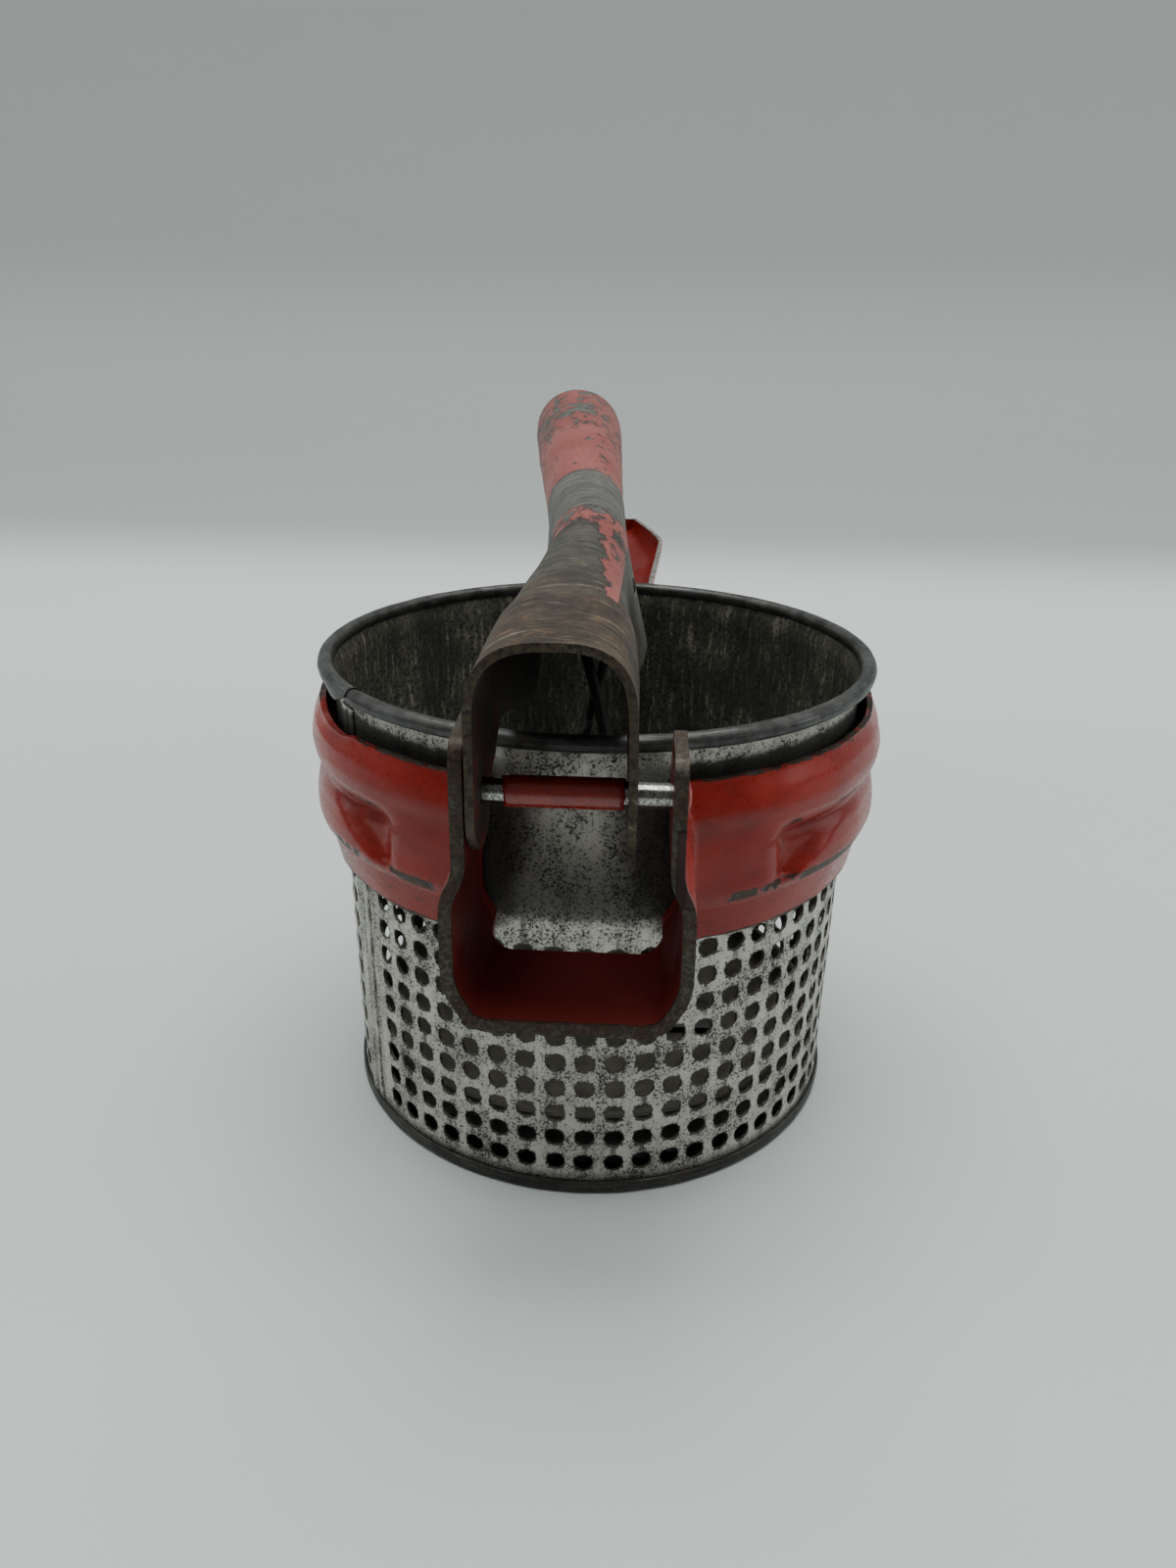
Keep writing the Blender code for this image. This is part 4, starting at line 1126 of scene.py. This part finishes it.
def yoke_half_path():
    """The middle of the yoke's sheet, from the top of an ear down to the middle of the floor."""
    return rounded_outline([(EAR_X, EAR_TOP), (EAR_X, 72.4), (JOG_X, 68.6), (JOG_X, 56.4),
                            (FLOOR_HALF, FLOOR_Z + 0.9), (10.4, FLOOR_Z), (0, FLOOR_Z)], 2.4, 8)


def yoke_x(z):
    """Where the middle of the yoke's sheet stands at a height, as half its spread."""
    path = yoke_half_path()[:-1]
    for (x0, z0), (x1, z1) in zip(path, path[1:]):
        if z1 <= z <= z0 and z0 > z1:
            return x1 + (x0 - x1) * (z - z1) / (z0 - z1)
    return FLOOR_HALF


def collar_radius(z, degrees):
    """Outer radius of the band at a height and at an angle round from the yoke."""
    mix = smoothstep(RIB_START, RIB_FULL, degrees)
    far = ease([(h, r) for h, r, _ in COLLAR_PROFILE], z, 0.4)
    near = ease([(h, r) for h, _, r in COLLAR_PROFILE], z, 0.9)
    along = smoothstep(RIB_START + 1.5, RIB_START + 4.5, degrees) * (1 - smoothstep(41, 60, degrees))
    floor_z = 55.8 + 0.42 * max(0.0, degrees - RIB_FULL)
    pocket = POCKET_DEPTH * along * smoothstep(floor_z, floor_z + 1.6, z)
    pocket *= 1 - smoothstep(63.4, 65.0, z)
    ledge = LEDGE_HEIGHT * smoothstep(20, 30, degrees)
    ledge *= smoothstep(54.2, 55.0, z) * (1 - smoothstep(56, 60, z))
    return near + (far - near) * mix - pocket + ledge


def band_row(z):
    """One level of the band: outer points from the left ear round the back to the right ear."""
    plane = yoke_x(z) + YOKE_T / 2 - 0.04
    at_yoke = collar_radius(z, 0.0)
    bend_x = plane + BEND_R
    bend_y = -math.sqrt((at_yoke + BEND_R) ** 2 - bend_x ** 2)
    start = math.atan2(bend_x, -bend_y)
    right = [(plane, bend_y - 3.0), (plane, bend_y - 1.5)]
    normals = [(1.0, 0.0), (1.0, 0.0)]
    turns = 8
    for k in range(turns + 1):
        # the bend runs from facing the ear's plane to facing the band
        share = k / turns
        angle = math.pi - share * (math.pi / 2 - start)
        px = bend_x + BEND_R * math.cos(angle)
        py = bend_y + BEND_R * math.sin(angle)
        right.append((px, py))
        normals.append((-math.cos(angle), -math.sin(angle)))
    arcs = 150
    sweep = []
    for k in range(1, arcs):
        angle = start + (math.tau - 2 * start) * k / arcs
        off = math.degrees(min(angle, math.tau - angle))
        radius = collar_radius(z, off)
        sweep.append(((radius * math.sin(angle), -radius * math.cos(angle)),
                      (math.sin(angle), -math.cos(angle))))
    points = right + [p for p, _ in sweep] + [(-x, y) for x, y in right[::-1]]
    facing = normals + [n for _, n in sweep] + [(-x, y) for x, y in normals[::-1]]
    return points, facing


def edge_wear(x, y):
    """How far the band's upper edge is worn down, most of all under the rim's lap."""
    azimuth = math.degrees(math.atan2(x, -y))
    under_lap = 1 - smoothstep(7, 13, abs(azimuth - SEAM_AZIMUTH + 4))
    return 0.35 + 0.25 * lumps(x, y, 0, 5.0, 5.0) + 1.0 * under_lap


def collar_band(mats):
    rows = 72
    outer_rows = []
    inner_rows = []
    for k in range(rows + 1):
        z = COLLAR_BOTTOM + (COLLAR_TOP - COLLAR_BOTTOM) * k / rows
        points, facing = band_row(z)
        outer = []
        inner = []
        for (x, y), (nx, ny) in zip(points, facing):
            fray = 0.30 * lumps(x, y, 0, 5.0, 5.0) * (k == 0)
            fray -= edge_wear(x, y) * smoothstep(COLLAR_TOP - 4, COLLAR_TOP, z)
            dip = 0.22 * lumps(x, y, z, 12.0, 7.0)
            outer.append((x + nx * dip, y + ny * dip, z + fray))
            inner.append((x - nx * COLLAR_T, y - ny * COLLAR_T, z + fray))
        outer_rows.append(outer)
        inner_rows.append(inner)
    bm = bmesh.new()
    grid = vert_grid(bm, outer_rows + inner_rows[::-1])
    join_rows(bm, grid + grid[:1], ring=False)
    count = len(grid)
    for end in (0, len(grid[0]) - 1):
        for r in range(count // 2 - 1):
            bm.faces.new((grid[r][end], grid[r + 1][end], grid[count - 2 - r][end],
                          grid[count - 1 - r][end]))
    return new_object("collar_and_yoke", bm, *mats)


def ear_trim(side, top):
    """What is cut away above one ear's sloping back and round its front corner."""
    corner = 3.0
    outline = [(YOKE_FRONT - 2, top - corner)]
    outline += arc((YOKE_FRONT + corner, top - corner), (corner, corner), 180, 90, 12)
    back = rounded_outline([(-66.0, top), (-59.0, top), (-54.5, top - 4.5),
                            (-48.5, COLLAR_TOP + 0.4), (YOKE_REAR + 2, COLLAR_TOP - 0.6)], 3.0, 6)
    outline += back + [(YOKE_REAR + 2, EAR_TOP + 5), (YOKE_FRONT - 2, EAR_TOP + 5)]
    return prism("ear_trim", outline, 0, 20 * side, "X")


def floor_notch():
    """What is cut out of the band behind the yoke's floor, with rounded corners."""
    half, corner, rear = FLOOR_HALF, 4.0, YOKE_REAR + 4
    outline = [(half, rear)]
    outline += arc((half - corner, FLOOR_EDGE + corner), (corner, corner), 0, -90, 12)
    outline += [(-x, y) for x, y in outline[::-1]]
    return prism("floor_notch", outline, 46.0, 53.0, "Z")


def rivet_line(x):
    """The direction a saddle rivet at x points in, out from the basket's middle."""
    angle = math.asin(x / SADDLE_R)
    return Vector((math.sin(angle), math.cos(angle), 0.0))


def rivet_holes():
    foot = Vector((0, 0, RIVET_Z))
    return [cylinder("hole", foot + rivet_line(x) * 44, foot + rivet_line(x) * 54, RIVET_HOLE_R, 32)
            for x in (-RIVET_X, RIVET_X)]


def collar_and_yoke(mats):
    band = collar_band(mats)
    cut(band, rivet_holes())
    half = yoke_half_path()
    path = half + [(-x, z) for x, z in half[-2::-1]]
    outline = strip(path, YOKE_T)
    stops = [YOKE_FRONT + (YOKE_REAR - YOKE_FRONT) * k / 18 for k in range(19)]
    trough = tube_grid("trough", [[(x, y, z) for x, z in outline] for y in stops], mats)
    pin_hole = cross_bore(PIN_Y, PIN_Z, PIN_HOLE_R)
    cut(trough, [ear_trim(-1, EAR_TOP), ear_trim(1, RIGHT_EAR_TOP), pin_hole])
    bevel(trough, 0.32, 3, 55)
    cut(band, [trough], "UNION")
    cut(band, [floor_notch()])
    dent(band, 0.10, 9.0, 11.0)
    smooth(band, 38)
    return band


def lower_handle(mats):
    """The trough-shaped handle and its saddle, one piece."""
    half_width = [(50, 8.6), (90, 8.6), (119, 9.7), (173, 12.4), (178, 11.6), (186, 9.2),
                  (194, 6.2), (HANDLE_END, 3.4)]
    edge_z = [(50, 66.0), (170, 66.0), (HANDLE_END, 68.2)]
    depths = [(50, 11.0), (90, 10.0), (173, 10.5), (188, 9.0), (HANDLE_END, 4.5)]
    rows = []
    stations = [HANDLE_START + 2.0 * k for k in range(70)]
    stations += [191.0 + k for k in range(10)] + [HANDLE_END - 0.02]
    for y in stations:
        half = ease(half_width, y, 2)
        edge = ease(edge_z, y, 4)
        depth = ease(depths, y, 3)
        parts = 36
        row = []
        for k in range(parts + 1):
            a = math.pi + math.pi * k / parts
            across = math.copysign(abs(math.cos(a)) ** 0.7, math.cos(a))
            row.append((half * across, y, edge - depth * abs(math.sin(a)) ** 0.8))
        rows.append(row)
    trough = sheet_grid("lower_handle_trough", rows, mats, cap_last=True)
    face_outward(trough, (0, 120, 66))
    thicken(trough, HANDLE_T)
    bevel(trough, 0.35, 3, 55)
    arc = math.radians(SADDLE_HALF_ANGLE)
    sections = []
    for k in range(41):
        turn = math.pi - arc + 2 * arc * k / 40
        round_off = 2.4 * smoothstep(0.86, 1.0, abs(k - 20) / 20)
        low, high = SADDLE_BOTTOM + round_off, SADDLE_TOP - round_off
        sections.append([ring_point(SADDLE_R, turn, low), ring_point(SADDLE_R + HANDLE_T, turn, low),
                         ring_point(SADDLE_R + HANDLE_T, turn, high), ring_point(SADDLE_R, turn, high)])
    saddle = tube_grid("saddle", sections, mats)
    bevel(saddle, 0.25, 2, 55)
    cut(trough, [saddle], "UNION")
    cut(trough, rivet_holes())
    smooth(trough, 38)
    return trough


def saddle_rivet(name, x, mats):
    inner, outer = RIVET_INNER, SADDLE_R + HANDLE_T + 0.05
    outline = arc((0, outer), (RIVET_HEAD_R, 1.35), 90, 0, 8)
    outline += [(RIVET_SHANK_R, outer), (RIVET_SHANK_R, inner + 0.6), (2.7, inner + 0.6),
                (2.6, inner), (0, inner)]
    rivet = lathe(name, outline, mats, 40)
    line = rivet_line(x)
    turn = line.to_track_quat("Z", "X").to_matrix().to_4x4()
    rivet.data.transform(Matrix.Translation(Vector((0, 0, RIVET_Z)) * MM) @ turn)
    return rivet


def hinge_pin(mats):
    """The cross pin. Its peened ends were painted over with the frame."""
    half = EAR_X + YOKE_T / 2
    head = [(0, half + 0.75), (0.8, half + 0.72), (1.5, half + 0.58), (2.0, half + 0.35),
            (2.1, half + 0.12), (PIN_R, half + 0.08)]
    pin = headed_pin("hinge_pin_peened", head, half, 20, mats, 48)
    lay_along_x(pin, 0, PIN_Y, PIN_Z)
    for face in pin.data.polygons:
        if abs(face.center.x) > half * MM:
            face.material_index = 1
    return pin


def hinge_sleeve(mats):
    """The red sleeve, its ends a little ragged."""
    steps = 48
    rows = []
    lengths = [-1.0, -0.97] + [-0.9 + 0.1 * k for k in range(19)] + [0.97, 1.0]
    for side, radius in (("out", SLEEVE_R), ("in", PIN_R + 0.06)):
        for share in lengths if side == "out" else lengths[::-1]:
            ring = []
            for k in range(steps):
                a = math.tau * k / steps
                ragged = 0.5 * lumps(math.cos(a) * 3, math.sin(a) * 3, share * 4, 1.6, 2.0)
                x = SLEEVE_HALF * share + (ragged if abs(share) > 0.96 else 0)
                r = radius - (0.14 if side == "out" and abs(share) == 1.0 else 0)
                r += 0.01 * lumps(x, math.cos(a) * 2, math.sin(a) * 2, 2.0, 5.0) * (side == "out")
                ring.append((x, r * math.cos(a), r * math.sin(a)))
            rows.append(ring)
    sleeve = ring_grid("hinge_sleeve_red", rows, mats)
    sleeve.data.transform(Matrix.Translation(Vector((SLEEVE_X, PIN_Y, PIN_Z)) * MM))
    smooth(sleeve, 45)
    return sleeve


# ------------------------------------------------------------------ lever

LEVER_CENTRE = [(-73, -2.0), (-35, -1.9), (-10, -1.6), (5, -1.8), (60, -6.0), (130, -11.2),
                (LEVER_END, -16.2)]
LEVER_HALF_WIDTH = [(-73, 10.2), (-58, 10.0), (-44, 8.6), (-24, 7.0), (-8, 6.6), (12, 6.7),
                    (60, 8.3), (120, 10.9), (170, 12.8), (187, 12.8), (193, 11.4), (197, 8.4),
                    (LEVER_END, 5.6)]
LEVER_TOP = [(-73, 102.6), (186, 110.2), (193, 108.8), (197, 106.0), (LEVER_END, 103.4)]
LEVER_SKIRT = [(-58, 86.2), (-52, 86.6), (-24, 80.0), (-16, 79.2), (-4, 80.2), (8, 81.8), (16, 84.0),
               (26, 87.5), (60, 88.4), (186, 87.2), (193, 89.2), (197, 92.4), (LEVER_END, 95.0)]
LEVER_FLARE = [(-44, 0.0), (-24, 1.0), (-12, 1.8), (-2, 4.2), (12, 4.4), (24, 2.6), (36, 0.0)]
LEVER_CURL = [(-10, 0.0), (10, 0.25), (30, 0.9), (45, 1.0)]
LEVER_SLOT = [(-10, 4.0), (30, 3.6), (120, 4.4), (LEVER_END, 4.0)]


def lever_edge_z(y):
    """Height of the lever's lower edge: round leg tips about the pin, then the skirt."""
    from_pin = y - PIN_Y
    if abs(from_pin) <= LEG_R:
        return PIN_Z - math.sqrt(max(0.0, LEG_R ** 2 - from_pin ** 2))
    if from_pin < 0:
        return PIN_Z
    rise = smoothstep(0.0, 6.0, from_pin - LEG_R)
    return PIN_Z + (ease(LEVER_SKIRT, y, 3) - PIN_Z) * rise


def lever_section(y):
    """The lever's outline at a place along it, from edge to edge over the top."""
    centre = ease(LEVER_CENTRE, y)
    half = ease(LEVER_HALF_WIDTH, y, 5)
    top = ease(LEVER_TOP, y, 2)
    edge = lever_edge_z(y)
    curl = ease(LEVER_CURL, y)
    flare = ease(LEVER_FLARE, y)
    slot = min(ease(LEVER_SLOT, y), half * 0.6)
    arch = min(half * 1.02, (top - edge) * 0.5)
    power = 0.72 + 0.28 * smoothstep(-62.0, -10.0, y)
    shoulder = top - arch
    side_parts, arch_parts = 14, 34
    right = []
    for k in range(side_parts, 0, -1):
        u = k / side_parts
        in_turn = 1 - math.cos(u * math.pi / 2)
        drop = (1 - curl) * u + curl * math.sin(u * math.pi / 2)
        across = half + flare * u - curl * (half - slot) * in_turn
        right.append((across, shoulder - (shoulder - edge) * drop))
    over = []
    for k in range(arch_parts + 1):
        a = math.pi * k / arch_parts
        across = math.copysign(abs(math.cos(a)) ** power, math.cos(a))
        over.append((half * across, shoulder + arch * abs(math.sin(a)) ** power))
    left = [(-x, z) for x, z in right[::-1]]
    return [(centre + x, y, z) for x, z in right + over + left]


def upper_lever(mats):
    stations = [LEVER_FRONT]
    stations += [PIN_Y - LEG_R * math.cos(math.pi * k / 22) for k in range(1, 23)]
    reach = LEVER_END - 4 - stations[-1]
    count = 160
    stations += [stations[-1] + reach * k / count for k in range(1, count + 1)]
    stations += [LEVER_END - 3, LEVER_END - 2, LEVER_END - 1, LEVER_END - 0.3]
    lever = sheet_grid("lever_stamping", [lever_section(y) for y in stations], mats, cap_last=True)
    face_outward(lever, (-8, 100, 100))
    thicken(lever, LEVER_T, inner_slot=1, edge_slot=2)
    cut(lever, [cross_bore(PIN_Y, PIN_Z, PIN_HOLE_R), cross_bore(0, PIVOT_Z, PIVOT_HOLE_R)])
    bevel(lever, 0.28, 3, 60)
    dent(lever, 0.16, 14.0, 21.0)
    smooth(lever, 38)
    return lever


def pivot_pin(mats):
    centre = ease(LEVER_CENTRE, 0)
    neck = ease(LEVER_HALF_WIDTH, 0, 5) + PIVOT_SHARE * ease(LEVER_FLARE, 0)
    head = [(0, neck + 0.25), (0.6, neck + 0.22), (1.1, neck + 0.1), (1.4, neck - 0.1),
            (PIVOT_R, neck - 0.3)]
    pin = headed_pin("plunger_pivot_rivet", head, neck, 10, mats, 40)
    lay_along_x(pin, centre, 0, PIVOT_Z)
    return pin


# ------------------------------------------------------------------ plunger

def plunger_strap(name, side, mats):
    """A strap from the pivot to the far foot, slotted where the two straps pass each other."""
    top_x, bend_z = 2.7, LINK_CROSS_Z + 10.0
    tab_z = PLATE_BOTTOM + PLATE_T + 0.05 + LINK_T / 2
    path = rounded_outline([(top_x, PIVOT_Z + 4.5), (top_x, bend_z), (0, LINK_CROSS_Z),
                            (-FOOT_X, tab_z), (-FOOT_END, tab_z)], 2.5, 6)
    outline = strip([(side * x, z) for x, z in path], LINK_T)
    link = prism(name, outline, -LINK_HALF_WIDTH, LINK_HALF_WIDTH, "Y", mats)
    ends = (-LINK_HALF_WIDTH - 1, 0.3) if side > 0 else (-0.3, LINK_HALF_WIDTH + 1)
    box = [(-6, LINK_CROSS_Z - 6.5), (6, LINK_CROSS_Z - 6.5), (6, LINK_CROSS_Z + 5.0),
           (-6, LINK_CROSS_Z + 5.0)]
    cut(link, [prism("notch", box, *ends, "Y"), cross_bore(0, PIVOT_Z, LINK_EYE_R, 32)])
    bevel(link, 0.22, 2, 50)
    smooth(link, 38)
    return link


def plunger_plate(mats):
    """The pressed plate: turned-up rim and one shallow stiffening ring."""
    low, high = PLATE_BOTTOM, PLATE_BOTTOM + PLATE_T

    def ripple(r):
        return RING_HEIGHT * math.exp(-((r - RING_R) / 1.6) ** 2)

    radii = (0, 12, 24, 27, 28.5, 29.5, 30.3, 31, 31.7, 32.5, 33.5, 35, 37)
    inside = [(r, high + ripple(r)) for r in radii]
    under = [(r, low + ripple(r)) for r in radii[::-1]]
    rim = rounded_outline([(PLATE_R - 4.0, high), (PLATE_R - 1.8, high), (PLATE_R - PLATE_T, high + 2.0),
                           (PLATE_R - PLATE_T, PLATE_RIM_TOP), (PLATE_R, PLATE_RIM_TOP),
                           (PLATE_R, low + 1.6), (PLATE_R - 1.6, low), (PLATE_R - 4.0, low)], 1.0, 4)
    return lathe("plunger_plate_pressed", inside + rim + under, mats, 128)


def foot_rivet(name, x, y, mats):
    under = PLATE_BOTTOM - 0.02
    over = PLATE_BOTTOM + PLATE_T + 0.08 + LINK_T
    outline = arc((0, over), (FOOT_RIVET_R, 0.95), 90, 0, 6)
    outline += [(FOOT_SHANK_R, over), (FOOT_SHANK_R, under), (FOOT_RIVET_R, under),
                (1.8, under - 0.5), (0, under - 0.6)]
    rivet = lathe(name, outline, mats, 32)
    rivet.data.transform(Matrix.Translation(Vector((x, y, 0)) * MM))
    return rivet


# ------------------------------------------------------------------ stage

def studio_sweep(mat):
    """Pale paper lying flat, then curving up behind."""
    bend_start, bend_r, half = 330.0, 160.0, 1600.0
    line = [(-1100.0, 0.0), (-300.0, 0.0), (0.0, 0.0)]
    line += arc((bend_start, bend_r), (bend_r, bend_r), -90, 0, 24)
    line.append((bend_start + bend_r, 1500.0))
    rows = [[(-half, y, z - 0.02), (0, y, z - 0.02), (half, y, z - 0.02)] for y, z in line]
    sweep = sheet_grid("studio_sweep", rows, [mat])
    face_outward(sweep, (0, 0, -50))
    sweep.data.shade_smooth()


def area_light(name, place, aim, size, power, color):
    data = bpy.data.lights.new(name, "AREA")
    data.shape = "RECTANGLE"
    data.size, data.size_y = size
    data.energy = power
    data.color = color
    light = bpy.data.objects.new(name, data)
    light.location = Vector(place)
    light.rotation_euler = (Vector(aim) - Vector(place)).to_track_quat("-Z", "Y").to_euler()
    bpy.context.scene.collection.objects.link(light)


def lights():
    world = bpy.data.worlds.new("studio_air")
    world.use_nodes = True
    background = world.node_tree.nodes["Background"]
    background.inputs["Color"].default_value = AIR_COLOR
    seen = world.node_tree.nodes.new("ShaderNodeLightPath")
    strength = world.node_tree.nodes.new("ShaderNodeMath")
    strength.operation = "MULTIPLY_ADD"
    strength.inputs[1].default_value = AIR_SEEN - AIR_LIGHT
    strength.inputs[2].default_value = AIR_LIGHT
    world.node_tree.links.new(seen.outputs["Is Camera Ray"], strength.inputs[0])
    world.node_tree.links.new(strength.outputs[0], background.inputs["Strength"])
    bpy.context.scene.world = world
    area_light("overhead", (0.0, 0.15, 1.15), (0.0, 0.05, 0.0), (1.15, 1.0), 20.5, (1.0, 1.0, 0.985))
    area_light("left_side", (-0.95, 0.10, 0.65), (0.0, 0.0, 0.06), (0.7, 0.7), 3.0, (0.97, 0.99, 1.0))
    area_light("right_side", (0.95, 0.05, 0.55), (0.0, 0.0, 0.06), (0.7, 0.7), 3.2, (0.97, 0.99, 1.0))


def camera():
    """Seen from just above and in front of the hinge end."""
    forward = Vector((0, math.cos(CAMERA_PITCH), -math.sin(CAMERA_PITCH)))
    right = Vector((1, 0, 0))
    up = right.cross(forward)
    rolled_right = right * math.cos(CAMERA_ROLL) + up * math.sin(CAMERA_ROLL)
    rolled_up = up * math.cos(CAMERA_ROLL) - right * math.sin(CAMERA_ROLL)
    turn = Matrix.Rotation(CAMERA_TURN, 3, "Z")
    axes = Matrix((turn @ rolled_right, turn @ rolled_up, turn @ -forward)).transposed()
    data = bpy.data.cameras.new("camera")
    data.lens = CAMERA_LENS
    data.sensor_width = 36.0
    data.clip_start = 0.005
    data.clip_end = 20.0
    cam = bpy.data.objects.new("camera", data)
    cam.matrix_world = Matrix.Translation(Vector(CAMERA_AT) * MM) @ axes.to_4x4()
    bpy.context.scene.collection.objects.link(cam)
    bpy.context.scene.camera = cam


# ------------------------------------------------------------------ assembly

def place(piece, body, slot, *nodes):
    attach(piece, body)
    if nodes:
        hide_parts(*nodes)


def build():
    camera()
    lights()
    studio_sweep(backdrop())

    outer, inner, edge = tin_outer(), tin_inner(), tin_edge()
    rim_tin = dark_tin("oxidised_rim", (0.078, 0.080, 0.076), 0.25)
    foot_tin = dark_tin("oxidised_foot", (0.052, 0.049, 0.041), 0.7)
    red_frame, red_handle = frame_red(), handle_red()
    steel, plate_tin, strap = bright_steel(), plunger_tin(), strap_dark()

    place(basket_wall([outer, inner, edge]), "basket", "tin_plate", "basket_wall")
    floor_disc, floor_flange = basket_floor([inner])
    place(floor_disc, "basket", "tin_plate", "basket_bottom")
    place(floor_flange, "basket", "tin_plate")
    place(side_seam([outer]), "basket", "tin_plate", "side_seam")
    place(foot_band([foot_tin]), "basket", "oxidised_tin", "bottom_ring")
    place(rolled_rim([rim_tin]), "basket", "oxidised_tin", "basket_rim")
    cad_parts["rim_wire"].data.materials[0] = rim_tin

    place(collar_and_yoke([red_frame]), "frame", "red_enamel", "collar_frame")
    place(lower_handle([red_handle]), "frame", "red_enamel", "lower_handle")
    for side, x in (("left", -RIVET_X), ("right", RIVET_X)):
        rivet = saddle_rivet(f"saddle_rivet_{side}", x, [red_handle])
        place(rivet, "frame", "red_enamel", f"handle_rivet_{side}")
    place(hinge_pin([steel, red_frame]), "frame", "bright_steel", "hinge_pin")
    place(hinge_sleeve([sleeve_red()]), "sleeve", "red_enamel", "hinge_sleeve")

    place(upper_lever([lever_paint(), lever_inner(), rusty_edge()]), "lever", "worn_lever",
          "upper_lever")
    place(pivot_pin([strap]), "lever", "bright_steel", "plunger_pivot_pin")

    for side, sign in (("right", 1), ("left", -1)):
        link = plunger_strap(f"plunger_strap_{side}", sign, [strap])
        place(link, "plunger", "plunger_tin", f"plunger_link_{side}")
    place(plunger_plate([plate_tin]), "plunger", "plunger_tin", "plunger_plate")
    for side, x in (("left", -FOOT_RIVET_X), ("right", FOOT_RIVET_X)):
        for end, y in (("front", -FOOT_RIVET_Y), ("rear", FOOT_RIVET_Y)):
            rivet = foot_rivet(f"foot_rivet_{side}_{end}", x, y, [plate_tin])
            place(rivet, "plunger", "plunger_tin", f"plunger_rivet_{side}_{end}")


build()
bpy.context.view_layer.update()
